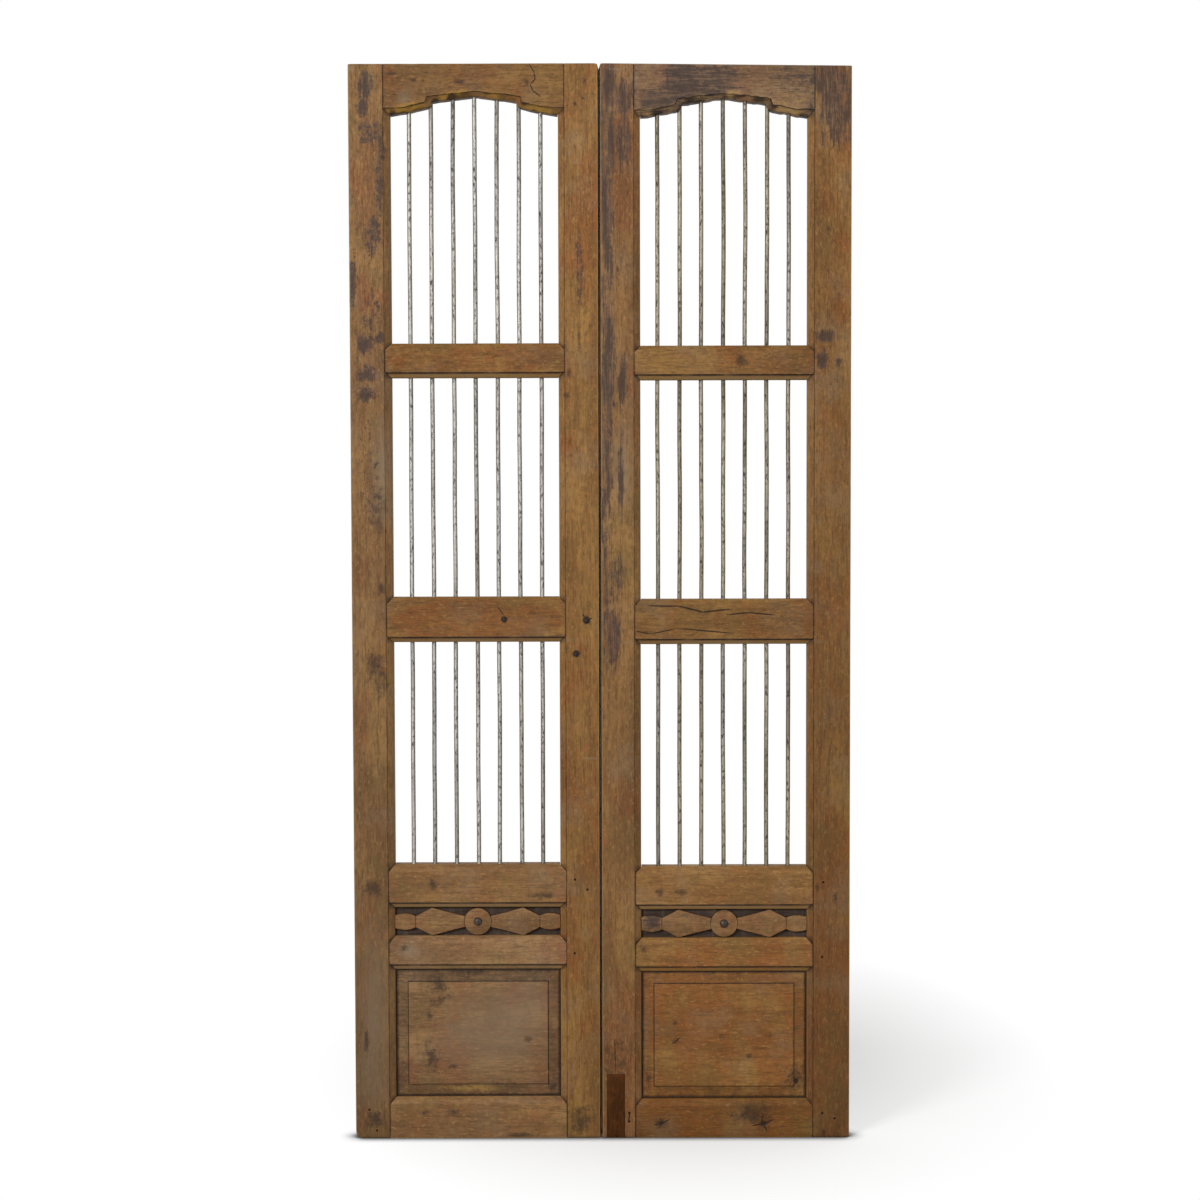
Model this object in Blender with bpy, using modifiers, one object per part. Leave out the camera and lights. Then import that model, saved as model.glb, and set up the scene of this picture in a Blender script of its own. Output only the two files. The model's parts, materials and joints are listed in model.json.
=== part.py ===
# Pair of jali doors: two narrow teak leaves, each framed with mortise and tenon joints and holding
# upright iron rods, a fret-cut strip on a backing board and a raised panel, hung on butt hinges.
# Metres, +Z up. The front faces -Y, and the origin is at floor level in the middle of the pair's box.

from math import asin, cos, hypot, pi, sin, sqrt

import bmesh
import bpy
from mathutils import Matrix

# Widths, from the left hinge edge to the right one
LEFT_HINGE_STILE_WIDTH = 0.075
RIGHT_HINGE_STILE_WIDTH = 0.079
MEETING_STILE_WIDTH = 0.073
OPENING_WIDTH = 0.308
MEETING_GAP = 0.0004            # between the leaves at the back, where they are closest

# Heights on the left leaf, from the floor up
BOTTOM_RAIL_HEIGHT = 0.0765
PANEL_OPENING_HEIGHT = 0.241
FRIEZE_RAIL_HEIGHT = 0.0625
JALI_OPENING_HEIGHT = 0.0535
LOCK_RAIL_HEIGHT = 0.080
LOWER_OPENING_HEIGHT = 0.4145
MIDDLE_RAIL_HEIGHT = 0.083
MIDDLE_OPENING_HEIGHT = 0.404
UPPER_RAIL_HEIGHT = 0.063
UPPER_OPENING_HEIGHT = 0.416
TOP_RAIL_END_HEIGHT = 0.092
RIGHT_LEAF_DROP = 0.005         # all the right leaf's openings sit this much lower

# Leaf thickness, and the moulding worked on the front inner edges
LEAF_THICKNESS = 0.036
MOULD_WIDTH = 0.012
MOULD_DEPTH = 0.008
QUIRK_DEPTH = 0.0015            # small step between the flat face and the moulding
FOOT_RADIUS = 0.016             # worn outer corner at the foot of each hinge stile
FOOT_STEPS = 4

# Cusped arch under the top rail
ARCH_SHOULDER_LENGTH = 0.074    # from the stile to the foot of the cusp
ARCH_SHOULDER_RISE = 0.0175
CUSP_WIDTH = 0.003
CUSP_RISE = 0.007
CROWN_RISE = 0.012              # from the cusp to the blunt point in the middle
ARCH_STEPS = 4                  # straight pieces along each curved stretch
SHOULDER_CURVE = 1.3            # power that hollows the shoulder; 1 is straight
CROWN_CURVE = 1.15              # power that blunts the point; 1 is straight
CUSP_SPREAD = 0.8               # how far the cusp moves outwards over the moulding, as a share of its width

# Joints
FIT = 0.0003                    # gap between pieces that seat on each other
TENON_THICKNESS = 0.012
TENON_SETDOWN = 0.002           # tenon edge to the moulding
TENON_EDGE_COVER = 0.020        # wood over a tenon at the leaf's top and bottom ends
TENON_END_SETBACK = 0.0005
TENON_ROOT = 0.012              # how far a tenon is fused into its rail
HOUSING_DEPTH = 0.008           # grooves for the panel and the backing board

# Iron rods, each in one length from the lock rail to the top rail
ROD_COUNT = 7
ROD_DIAMETER = 0.008
ROD_HINGE_MARGIN = 0.035        # hinge side of the opening to the first rod's centre
ROD_MEETING_MARGIN = 0.032
ROD_FOOT_SOCKET = 0.020
ROD_HEAD_SOCKET = 0.014         # above the arch's highest point
ROD_SIDES = 12

# Raised and fielded panel
PANEL_SET_BACK = 0.013          # leaf's face to the front of the panel's tongue
PANEL_TONGUE = 0.008
PANEL_MARGIN = 0.024
PANEL_MARGIN_RISE = 0.0035
PANEL_FIELD_STEP = 0.0025

# Fret-cut jali strip, its backing board and its stud
JALI_SET_BACK = 0.006
JALI_THICKNESS = 0.009
JALI_BUD_LENGTH = 0.038         # end of the strip to the outer neck
JALI_BUD_HEIGHT = 0.031
JALI_END_HEIGHT = 0.024
JALI_NECK_HEIGHT = 0.021
JALI_PEAK_SETBACK = 0.031       # outer neck to the widest part of the lozenge
JALI_PEAK_SOFTNESS = 0.006
JALI_WAIST_HEIGHT = 0.023       # where the lozenge runs into the disc
JALI_PEAK_CLEARANCE = 0.0008    # widest part to the rails
JALI_DISC_CLEARANCE = 0.0015
JALI_ARC_STEPS = 6
JALI_BUD_FULLNESS = 0.8         # power that fills out the bud; 1 is a plain sine
BACKING_THICKNESS = 0.008
STUD_DIAMETER = 0.015
STUD_RISE = 0.005
STUD_SHANK_DIAMETER = 0.005
STUD_SIDES = 16
STUD_STEPS = 4

# Butt hinges, let into the outer edges with their knuckles behind the leaf
HINGE_LENGTH = 0.100
HINGE_TOP_DROP = 0.040          # below the top rail's tenon
KNUCKLE_COUNT = 5
KNUCKLE_RADIUS = 0.005
KNUCKLE_CLEARANCE = 0.0005
KNUCKLE_GAP = 0.0006
KNUCKLE_SIDES = 12
FLAP_THICKNESS = 0.0025
FLAP_GAP = 0.0005
FLAP_FRONT_COVER = 0.008        # wood left in front of a flap
SCREW_COUNT = 3
SCREW_HOLE_DIAMETER = 0.0045
SCREW_SINK_DIAMETER = 0.0085    # countersink on the face that meets the other flap
SCREW_END_MARGIN = 0.016
SCREW_FRONT_MARGIN = 0.010
SCREW_STAGGER = 0.008           # every second screw sits this much nearer the knuckles
SCREW_SIDES = 8
PIN_RADIUS = 0.0027
PIN_HEAD_RADIUS = 0.0042
PIN_HEAD_HEIGHT = 0.0025
PIN_SIDES = 10

# Let-in repair patch at the foot of the right meeting stile
PATCH_WIDTH = 0.035
PATCH_HEIGHT = 0.121
PATCH_DEPTH = 0.008
PATCH_EDGE_COVER = 0.0075       # wood left at the meeting edge

# Working allowances that change no finished size
OVERRUN = 0.002                 # how far a cutter runs past the surface it opens
MERGE = 0.000002
SMOOTH_ANGLE = pi / 5           # sharper edges than this stay crisp on round pieces

# Sizes that follow from those above
PIN_INSET = FLAP_THICKNESS + FLAP_GAP / 2
PIN_SETBACK = KNUCKLE_RADIUS + KNUCKLE_CLEARANCE
PIN_DEPTH = LEAF_THICKNESS + PIN_SETBACK
FLAP_REACH = PIN_DEPTH - FLAP_FRONT_COVER
FRONT_Y = -(PIN_DEPTH + KNUCKLE_RADIUS) / 2
PIN_Y = FRONT_Y + PIN_DEPTH
TENON_FRONT = (LEAF_THICKNESS - TENON_THICKNESS) / 2
TENON_BACK = TENON_FRONT + TENON_THICKNESS
TENON_INSET = MOULD_WIDTH + TENON_SETDOWN
ROD_DEPTH = LEAF_THICKNESS / 2
ROD_PITCH = (OPENING_WIDTH - ROD_HINGE_MARGIN - ROD_MEETING_MARGIN) / (ROD_COUNT - 1)
ARCH_RISE = ARCH_SHOULDER_RISE + CUSP_RISE + CROWN_RISE
EAR_DEPTH = MOULD_DEPTH + FIT    # thickness of a rail's end where it laps the stile's moulding
PANEL_BACK = PANEL_SET_BACK + PANEL_TONGUE
BACKING_FRONT = JALI_SET_BACK + JALI_THICKNESS + FIT
BACKING_BACK = BACKING_FRONT + BACKING_THICKNESS
LEAF_HEIGHT = (
    BOTTOM_RAIL_HEIGHT + PANEL_OPENING_HEIGHT + FRIEZE_RAIL_HEIGHT + JALI_OPENING_HEIGHT
    + LOCK_RAIL_HEIGHT + LOWER_OPENING_HEIGHT + MIDDLE_RAIL_HEIGHT + MIDDLE_OPENING_HEIGHT
    + UPPER_RAIL_HEIGHT + UPPER_OPENING_HEIGHT + TOP_RAIL_END_HEIGHT
)

# Axes that a flat outline can be given thickness along
ALONG_Z = Matrix.Identity(4)
ALONG_Y = Matrix.Rotation(pi / 2, 4, "X") @ Matrix.Scale(-1, 4, (0, 0, 1))
ALONG_X = Matrix(((0, 0, 1, 0), (1, 0, 0, 0), (0, 1, 0, 0), (0, 0, 0, 1)))


class Leaf:
    """One leaf, measured by u from its hinge edge, depth from its front face and z from the floor."""

    def __init__(self, name, hand, hinge_stile_width, drop):
        self.name = name
        self.hand = hand
        self.hinge_side = hinge_stile_width
        self.meeting_side = hinge_stile_width + OPENING_WIDTH
        self.width = self.meeting_side + MEETING_STILE_WIDTH
        self.bevel = hypot(self.width - PIN_INSET, PIN_DEPTH) - (self.width - PIN_INSET)
        self.back_width = self.width + self.bevel
        self.rails = {}
        heights = (
            ("bottom", BOTTOM_RAIL_HEIGHT - drop, PANEL_OPENING_HEIGHT),
            ("frieze", FRIEZE_RAIL_HEIGHT, JALI_OPENING_HEIGHT),
            ("lock", LOCK_RAIL_HEIGHT, LOWER_OPENING_HEIGHT),
            ("middle", MIDDLE_RAIL_HEIGHT, MIDDLE_OPENING_HEIGHT),
            ("upper", UPPER_RAIL_HEIGHT, UPPER_OPENING_HEIGHT),
            ("top", TOP_RAIL_END_HEIGHT + drop, 0),
        )
        z = 0
        for rail, height, opening in heights:
            self.rails[rail] = (z, z + height)
            z += height + opening
        self.rod_us = [self.hinge_side + ROD_HINGE_MARGIN + ROD_PITCH * i for i in range(ROD_COUNT)]
        self.hinge_zs = {
            "top": self.tenon("top")[0] - HINGE_TOP_DROP - HINGE_LENGTH,
            "middle": (self.rails["middle"][1] + self.rails["upper"][0] - HINGE_LENGTH) / 2,
            "bottom": (self.rails["bottom"][1] + self.rails["frieze"][0] - HINGE_LENGTH) / 2,
        }

    def x(self, u):
        """X from the hinge pin, which is each leaf's own origin."""
        return self.hand * (u - PIN_INSET)

    def tenon(self, rail):
        """Lowest and highest edge of a rail's tenon."""
        low, high = self.rails[rail]
        low += TENON_EDGE_COVER if rail == "bottom" else TENON_INSET
        high -= TENON_EDGE_COVER if rail == "top" else TENON_INSET
        return low, high


def y(depth):
    """Y from the hinge pin of a point at some depth behind the leaf's face."""
    return depth - PIN_DEPTH


def material(name, colour, roughness, metallic=0.0):
    made = bpy.data.materials.new(name)
    made.use_nodes = True
    shader = made.node_tree.nodes["Principled BSDF"]
    shader.inputs["Base Color"].default_value = (*colour, 1)
    shader.inputs["Roughness"].default_value = roughness
    shader.inputs["Metallic"].default_value = metallic
    return made


def mesh_from(name, shape):
    mesh = bpy.data.meshes.new(name)
    shape.to_mesh(mesh)
    shape.free()
    return mesh


def part(name, mesh, finish, parent=None, location=(0, 0, 0)):
    """A sub-part in the object's own collection."""
    made = bpy.data.objects.new(name, mesh)
    made.location = location
    made.parent = parent
    if not mesh.materials:
        mesh.materials.append(finish)
    parts.objects.link(made)
    return made


def tool(target, label, operation, *shapes):
    """Cut one or more separate shapes out of a part, or join them to it."""
    joined = bmesh.new()
    for shape in shapes:
        passing = mesh_from("passing", shape)
        joined.from_mesh(passing)
        bpy.data.meshes.remove(passing)
    cutter = bpy.data.objects.new(f"{target.name}_{label}", mesh_from(label, joined))
    cutter.parent = target.parent
    cutter.location = target.location
    cutter.hide_render = True
    cutter.display_type = "WIRE"
    cutters.objects.link(cutter)
    boolean = target.modifiers.new(label, "BOOLEAN")
    boolean.operation = operation
    boolean.solver = "EXACT"
    boolean.object = cutter


def finished_mesh(made):
    """A part's mesh with its modifiers applied, so that several objects can share it."""
    bpy.context.view_layer.update()
    mesh = bpy.data.meshes.new_from_object(made.evaluated_get(bpy.context.evaluated_depsgraph_get()))
    for modifier in made.modifiers:
        if modifier.type == "BOOLEAN":
            bpy.data.objects.remove(modifier.object)
    bpy.data.objects.remove(made)
    return mesh


def prism(outline, low, high, along):
    """A flat outline given thickness from low to high along one axis."""
    curve = bpy.data.curves.new("outline", "CURVE")
    curve.dimensions = "2D"
    curve.fill_mode = "BOTH"
    curve.extrude = (high - low) / 2
    spline = curve.splines.new("POLY")
    spline.points.add(len(outline) - 1)
    for point, (across, up) in zip(spline.points, outline):
        point.co = (across, up, 0, 1)
    spline.use_cyclic_u = True
    guide = bpy.data.objects.new("outline", curve)
    cutters.objects.link(guide)
    bpy.context.view_layer.update()
    mesh = bpy.data.meshes.new_from_object(guide.evaluated_get(bpy.context.evaluated_depsgraph_get()))
    shape = bmesh.new()
    shape.from_mesh(mesh)
    bpy.data.meshes.remove(mesh)
    bpy.data.objects.remove(guide)
    bpy.data.curves.remove(curve)
    bmesh.ops.remove_doubles(shape, verts=shape.verts, dist=MERGE)
    place = along @ Matrix.Translation((0, 0, (low + high) / 2))
    bmesh.ops.transform(shape, matrix=place, verts=shape.verts)
    bmesh.ops.recalc_face_normals(shape, faces=shape.faces)
    for face in shape.faces:
        face.smooth = False
    return shape


def box(x_range, y_range, z_range):
    shape = bmesh.new()
    ranges = (x_range, y_range, z_range)
    centre = Matrix.Translation([(low + high) / 2 for low, high in ranges])
    size = Matrix.Diagonal([abs(high - low) for low, high in ranges] + [1])
    bmesh.ops.create_cube(shape, size=1, matrix=centre @ size)
    return shape


def leaf_box(leaf, u_range, depth_range, z_range):
    return box([leaf.x(u) for u in u_range], [y(depth) for depth in depth_range], z_range)


def cylinder(radius, sides, centre, z_range):
    """An upright cylinder; centre gives its X and Y."""
    shape = bmesh.new()
    low, high = z_range
    bmesh.ops.create_cone(
        shape, cap_ends=True, segments=sides, radius1=radius, radius2=radius, depth=high - low,
        matrix=Matrix.Translation((*centre, (low + high) / 2)),
    )
    return shape


def loft(rings):
    """A closed solid through matching rings of points, capped at the first and last."""
    shape = bmesh.new()
    loops = [[shape.verts.new(point) for point in ring] for ring in rings]
    for near, far in zip(loops, loops[1:]):
        for i, corner in enumerate(near):
            shape.faces.new((near[i - 1], corner, far[i], far[i - 1]))
    shape.faces.new(loops[0])
    shape.faces.new(loops[-1])
    bmesh.ops.recalc_face_normals(shape, faces=shape.faces)
    return shape


def turned_mesh(name, profile, sides):
    """A turned piece on the Z axis: a profile of radius and height, read from its top end down."""
    mesh = bpy.data.meshes.new(name)
    points = [(radius, 0, height) for radius, height in profile]
    mesh.from_pydata(points, [(i, i + 1) for i in range(len(points) - 1)], [])
    made = bpy.data.objects.new(name, mesh)
    cutters.objects.link(made)
    screw = made.modifiers.new("turned", "SCREW")
    screw.steps = sides
    screw.render_steps = sides
    screw.use_merge_vertices = True
    screw.merge_threshold = MERGE
    return finished_mesh(made)


def round_shaded(mesh):
    mesh.shade_smooth()
    mesh.set_sharp_from_angle(angle=SMOOTH_ANGLE)


def ear_outline(leaf, rail, edge, outward):
    """Front outline of a rail's end, whose flat laps the stile's moulding, mitred at 45 degrees.

    edge is that side of the opening, and outward points from it into the stile.
    """
    low, high = leaf.rails[rail]
    lower = [(-OVERRUN, low - OVERRUN), (MOULD_WIDTH, low + MOULD_WIDTH)]
    upper = [(MOULD_WIDTH, high - MOULD_WIDTH), (-OVERRUN, high + OVERRUN)]
    if rail == "bottom":
        lower = [(-OVERRUN, low - OVERRUN), (MOULD_WIDTH, low - OVERRUN)]
    if rail == "top":
        upper = [(MOULD_WIDTH, high + OVERRUN), (-OVERRUN, high + OVERRUN)]
    return [(leaf.x(edge + outward * across), z) for across, z in lower + upper]


def make_stile(leaf, kind, finish):
    """An upright: its moulded section drawn out to full height, then notched and mortised for the rails."""
    if kind == "hinge":
        edge, outward = leaf.hinge_side, -1
        far_front, far_back = 0, 0
    else:
        edge, outward = leaf.meeting_side, 1
        far_front, far_back = leaf.width, leaf.back_width
    section = [
        (far_front, 0), (edge + outward * MOULD_WIDTH, 0), (edge + outward * MOULD_WIDTH, QUIRK_DEPTH),
        (edge, MOULD_DEPTH), (edge, LEAF_THICKNESS), (far_back, LEAF_THICKNESS),
    ]
    outline = [(leaf.x(u), y(depth)) for u, depth in section]
    blank = mesh_from(f"{kind}_stile", prism(outline, 0, LEAF_HEIGHT, ALONG_Z))
    stile = part(f"{leaf.name}_{kind}_stile", blank, finish, leaf.swing)

    notches = []
    mortises = []
    for rail in leaf.rails:
        notch = ear_outline(leaf, rail, edge, outward)
        notches.append(prism(notch, y(-OVERRUN), y(EAR_DEPTH + FIT), ALONG_Y))
        low, high = leaf.tenon(rail)
        through = sorted((edge - outward * OVERRUN, max(far_front, far_back) + outward * OVERRUN))
        mortises.append(leaf_box(
            leaf, through, (TENON_FRONT - FIT, TENON_BACK + FIT), (low - FIT, high + FIT)))
    tool(stile, "notches", "DIFFERENCE", *notches)
    tool(stile, "mortises", "DIFFERENCE", *mortises)

    housing = (edge - outward * OVERRUN, edge + outward * HOUSING_DEPTH)
    tool(stile, "grooves", "DIFFERENCE", *(
        leaf_box(leaf, housing, (front - FIT, back + FIT), (low - HOUSING_DEPTH, high + HOUSING_DEPTH))
        for front, back, low, high in (
            (PANEL_SET_BACK, PANEL_BACK, leaf.rails["bottom"][1], leaf.rails["frieze"][0]),
            (BACKING_FRONT, BACKING_BACK, leaf.rails["frieze"][1], leaf.rails["lock"][0]),
        )))
    return stile


def seat_hinges(leaf, stile):
    """Cut a seat for both flaps of each hinge in the outer edge, and round the foot."""
    seats = []
    for z in leaf.hinge_zs.values():
        seats.append(leaf_box(
            leaf, (-OVERRUN, 2 * FLAP_THICKNESS + FLAP_GAP + FIT),
            (FLAP_FRONT_COVER - FIT, LEAF_THICKNESS + OVERRUN), (z - FIT, z + HINGE_LENGTH + FIT)))
    tool(stile, "hinge_seats", "DIFFERENCE", *seats)
    turns = [pi / 2 * i / FOOT_STEPS for i in range(FOOT_STEPS + 1)]
    arc = [(FOOT_RADIUS * (1 - sin(turn)), FOOT_RADIUS * (1 - cos(turn))) for turn in turns]
    corner = [(FOOT_RADIUS, -OVERRUN), *arc, (-OVERRUN, FOOT_RADIUS), (-OVERRUN, -OVERRUN)]
    outline = [(leaf.x(u), z) for u, z in corner]
    waste = prism(outline, y(-OVERRUN), y(LEAF_THICKNESS + OVERRUN), ALONG_Y)
    tool(stile, "worn_foot", "DIFFERENCE", waste)


def let_in_patch(leaf, stile, finish):
    """Repair patch in the front of a meeting stile, at its foot."""
    near = leaf.width - PATCH_EDGE_COVER
    seat = leaf_box(leaf, (near - PATCH_WIDTH, near), (-OVERRUN, PATCH_DEPTH), (-OVERRUN, PATCH_HEIGHT))
    tool(stile, "patch_seat", "DIFFERENCE", seat)
    patch = leaf_box(
        leaf, (near - PATCH_WIDTH + FIT, near - FIT), (0, PATCH_DEPTH - FIT), (0, PATCH_HEIGHT - FIT))
    part(f"{leaf.name}_repair_patch", mesh_from("repair_patch", patch), finish, leaf.swing)


def straight_rail(leaf, rail):
    """A rail's moulded section, drawn out between its shoulders."""
    low, high = leaf.rails[rail]
    moulding = ((LEAF_THICKNESS, 0), (MOULD_DEPTH, 0), (QUIRK_DEPTH, MOULD_WIDTH), (0, MOULD_WIDTH))
    lower = [(depth, low + inset) for depth, inset in moulding]
    upper = [(depth, high - inset) for depth, inset in reversed(moulding)]
    if rail == "bottom":
        lower = [(LEAF_THICKNESS, low), (0, low)]
    section = [(y(depth), z) for depth, z in lower + upper]
    ends = sorted(leaf.x(u) for u in (
        leaf.hinge_side - MOULD_WIDTH + FIT, leaf.meeting_side + MOULD_WIDTH - FIT))
    return prism(section, *ends, ALONG_X)


def arch_half():
    """Half of the arch, from the stile to the middle.

    Each point holds its distance from the middle and its rise, then the same for the moulding's top.
    The moulding keeps its width all along, so the step of the cusp moves outwards with it.
    """
    half = OPENING_WIDTH / 2
    foot = half - ARCH_SHOULDER_LENGTH
    head = foot - CUSP_WIDTH
    runs = [i / ARCH_STEPS for i in range(ARCH_STEPS + 1)]
    points = [(half + MOULD_WIDTH, 0)]
    for run in runs:
        points.append((half - ARCH_SHOULDER_LENGTH * run, ARCH_SHOULDER_RISE * run ** SHOULDER_CURVE))
    for run in runs:
        crown = CROWN_RISE * (1 - (1 - run) ** CROWN_CURVE)
        points.append((head * (1 - run), ARCH_SHOULDER_RISE + CUSP_RISE + crown))
    pairs = []
    for distance, rise in points:
        if distance >= foot:
            spread = MOULD_WIDTH * (half + MOULD_WIDTH - distance) / (half + MOULD_WIDTH - foot)
        else:
            spread = MOULD_WIDTH * distance / head
        pairs.append((distance, rise, distance + spread * CUSP_SPREAD, rise + MOULD_WIDTH))
    return pairs


def arched_rail(leaf):
    """The top rail: rings of its outline, from the back face to the quirk and the front face."""
    low = leaf.rails["top"][0]
    middle = (leaf.hinge_side + leaf.meeting_side) / 2
    half = arch_half()
    rings = []
    for depth, moulded in ((LEAF_THICKNESS, False), (MOULD_DEPTH, False), (QUIRK_DEPTH, True), (0, True)):
        edge = [(pair[2], pair[3]) if moulded else (pair[0], pair[1]) for pair in half]
        edge = edge + [(-distance, rise) for distance, rise in reversed(edge[:-1])]
        outline = [(leaf.x(middle + distance), low + rise) for distance, rise in edge]
        end = OPENING_WIDTH / 2 + MOULD_WIDTH
        outline += [(leaf.x(middle - end), LEAF_HEIGHT), (leaf.x(middle + end), LEAF_HEIGHT)]
        rings.append([(x, y(depth), z) for x, z in outline])
    shape = loft(rings)
    for edge, outward in ((leaf.hinge_side, -1), (leaf.meeting_side, 1)):
        shoulder = leaf.x(edge + outward * (MOULD_WIDTH - FIT))
        side = outward * leaf.hand
        bmesh.ops.bisect_plane(
            shape, geom=shape.verts[:] + shape.edges[:] + shape.faces[:], plane_co=(shoulder, 0, 0),
            plane_no=(side, 0, 0), clear_outer=True)
        rim = [e for e in shape.edges if e.is_boundary]
        bmesh.ops.holes_fill(shape, edges=rim)
    bmesh.ops.recalc_face_normals(shape, faces=shape.faces)
    return shape


def make_rail(leaf, rail, finish):
    """A rail with its shoulders, mitred corners and through tenons cut."""
    shape = arched_rail(leaf) if rail == "top" else straight_rail(leaf, rail)
    made = part(f"{leaf.name}_{rail}_rail", mesh_from(f"{rail}_rail", shape), finish, leaf.swing)
    low, high = leaf.rails[rail]
    shoulders = []
    mitres = []
    for edge, outward in ((leaf.hinge_side, -1), (leaf.meeting_side, 1)):
        reach = MOULD_WIDTH + OVERRUN
        behind = (edge - outward * FIT, edge + outward * reach)
        depths = (EAR_DEPTH, LEAF_THICKNESS + OVERRUN)
        shoulders.append(leaf_box(leaf, behind, depths, (low - OVERRUN, high + OVERRUN)))
        moulded_edges = []
        if rail != "bottom":
            moulded_edges.append((low, 1))
        if rail != "top":
            moulded_edges.append((high, -1))
        for z, inward in moulded_edges:
            start = z + inward * FIT * sqrt(2)
            corner = [
                (-reach, start - inward * reach), (reach, start + inward * reach),
                (reach, z - inward * 2 * reach), (-reach, z - inward * 2 * reach)]
            outline = [(leaf.x(edge + outward * across), height) for across, height in corner]
            mitres.append(prism(outline, y(-OVERRUN), y(EAR_DEPTH + OVERRUN), ALONG_Y))
    tool(made, "shoulders", "DIFFERENCE", *shoulders)
    tool(made, "mitres", "DIFFERENCE", *mitres)
    tenons = [
        leaf_box(leaf, u_range, (TENON_FRONT, TENON_BACK), leaf.tenon(rail))
        for u_range in (
            (TENON_END_SETBACK, leaf.hinge_side + TENON_ROOT),
            (leaf.meeting_side - TENON_ROOT, leaf.width - TENON_END_SETBACK),
        )
    ]
    tool(made, "tenons", "UNION", *tenons)
    return made


def rod_ends(leaf):
    """Lowest and highest point of every rod."""
    return leaf.rails["lock"][1] - ROD_FOOT_SOCKET, leaf.rails["top"][0] + ARCH_RISE + ROD_HEAD_SOCKET


def drill_for_rods(leaf, rail, low, high):
    radius = ROD_DIAMETER / 2 + FIT
    holes = [cylinder(radius, ROD_SIDES, (leaf.x(u), y(ROD_DEPTH)), (low, high)) for u in leaf.rod_us]
    tool(rail, "rod_holes", "DIFFERENCE", *holes)


def groove_rail(leaf, rail, *grooves):
    """Grooves along a rail's edge for the panel or the backing board."""
    length = (leaf.hinge_side - OVERRUN, leaf.meeting_side + OVERRUN)
    tool(rail, "grooves", "DIFFERENCE", *(
        leaf_box(leaf, length, (front - FIT, back + FIT), z_range) for front, back, z_range in grooves))


def make_rails(leaf, finish):
    rails = {name: make_rail(leaf, name, finish) for name in leaf.rails}
    foot, head = rod_ends(leaf)
    drill_for_rods(leaf, rails["top"], leaf.rails["top"][0] - OVERRUN, head + FIT)
    for name in ("upper", "middle"):
        low, high = leaf.rails[name]
        drill_for_rods(leaf, rails[name], low - OVERRUN, high + OVERRUN)
    drill_for_rods(leaf, rails["lock"], foot - FIT, leaf.rails["lock"][1] + OVERRUN)

    lock_low = leaf.rails["lock"][0]
    frieze_low, frieze_high = leaf.rails["frieze"]
    bottom_high = leaf.rails["bottom"][1]
    panel = (PANEL_SET_BACK, PANEL_BACK)
    backing = (BACKING_FRONT, BACKING_BACK)
    groove_rail(leaf, rails["lock"], (*backing, (lock_low - OVERRUN, lock_low + HOUSING_DEPTH)))
    groove_rail(
        leaf, rails["frieze"],
        (*backing, (frieze_high - HOUSING_DEPTH, frieze_high + OVERRUN)),
        (*panel, (frieze_low - OVERRUN, frieze_low + HOUSING_DEPTH)))
    groove_rail(leaf, rails["bottom"], (*panel, (bottom_high - HOUSING_DEPTH, bottom_high + OVERRUN)))


def make_rods(leaf, finish):
    foot, head = rod_ends(leaf)
    for number, u in enumerate(leaf.rod_us, 1):
        shape = cylinder(ROD_DIAMETER / 2, ROD_SIDES, (leaf.x(u), y(ROD_DEPTH)), (foot, head))
        mesh = mesh_from("rod", shape)
        round_shaded(mesh)
        part(f"{leaf.name}_rod_{number}", mesh, finish, leaf.swing)


def make_panel(leaf, finish):
    """A board with a tongue all round, a sloped margin and a raised field."""
    reach = HOUSING_DEPTH - FIT
    width = (leaf.hinge_side - reach, leaf.meeting_side + reach)
    height = (leaf.rails["bottom"][1] - reach, leaf.rails["frieze"][0] + reach)
    shape = leaf_box(leaf, width, (PANEL_SET_BACK, PANEL_BACK), height)
    front = min(shape.faces, key=lambda face: face.calc_center_median().y)
    bmesh.ops.inset_region(shape, faces=[front], thickness=reach, use_even_offset=True)
    bmesh.ops.inset_region(
        shape, faces=[front], thickness=PANEL_MARGIN, depth=PANEL_MARGIN_RISE, use_even_offset=True)
    field = bmesh.ops.extrude_face_region(shape, geom=[front])
    corners = [item for item in field["geom"] if isinstance(item, bmesh.types.BMVert)]
    bmesh.ops.translate(shape, verts=corners, vec=(0, -PANEL_FIELD_STEP, 0))
    bmesh.ops.delete(shape, geom=[front], context="FACES_ONLY")
    bmesh.ops.recalc_face_normals(shape, faces=shape.faces)
    part(f"{leaf.name}_panel", mesh_from("panel", shape), finish, leaf.swing)


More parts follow.
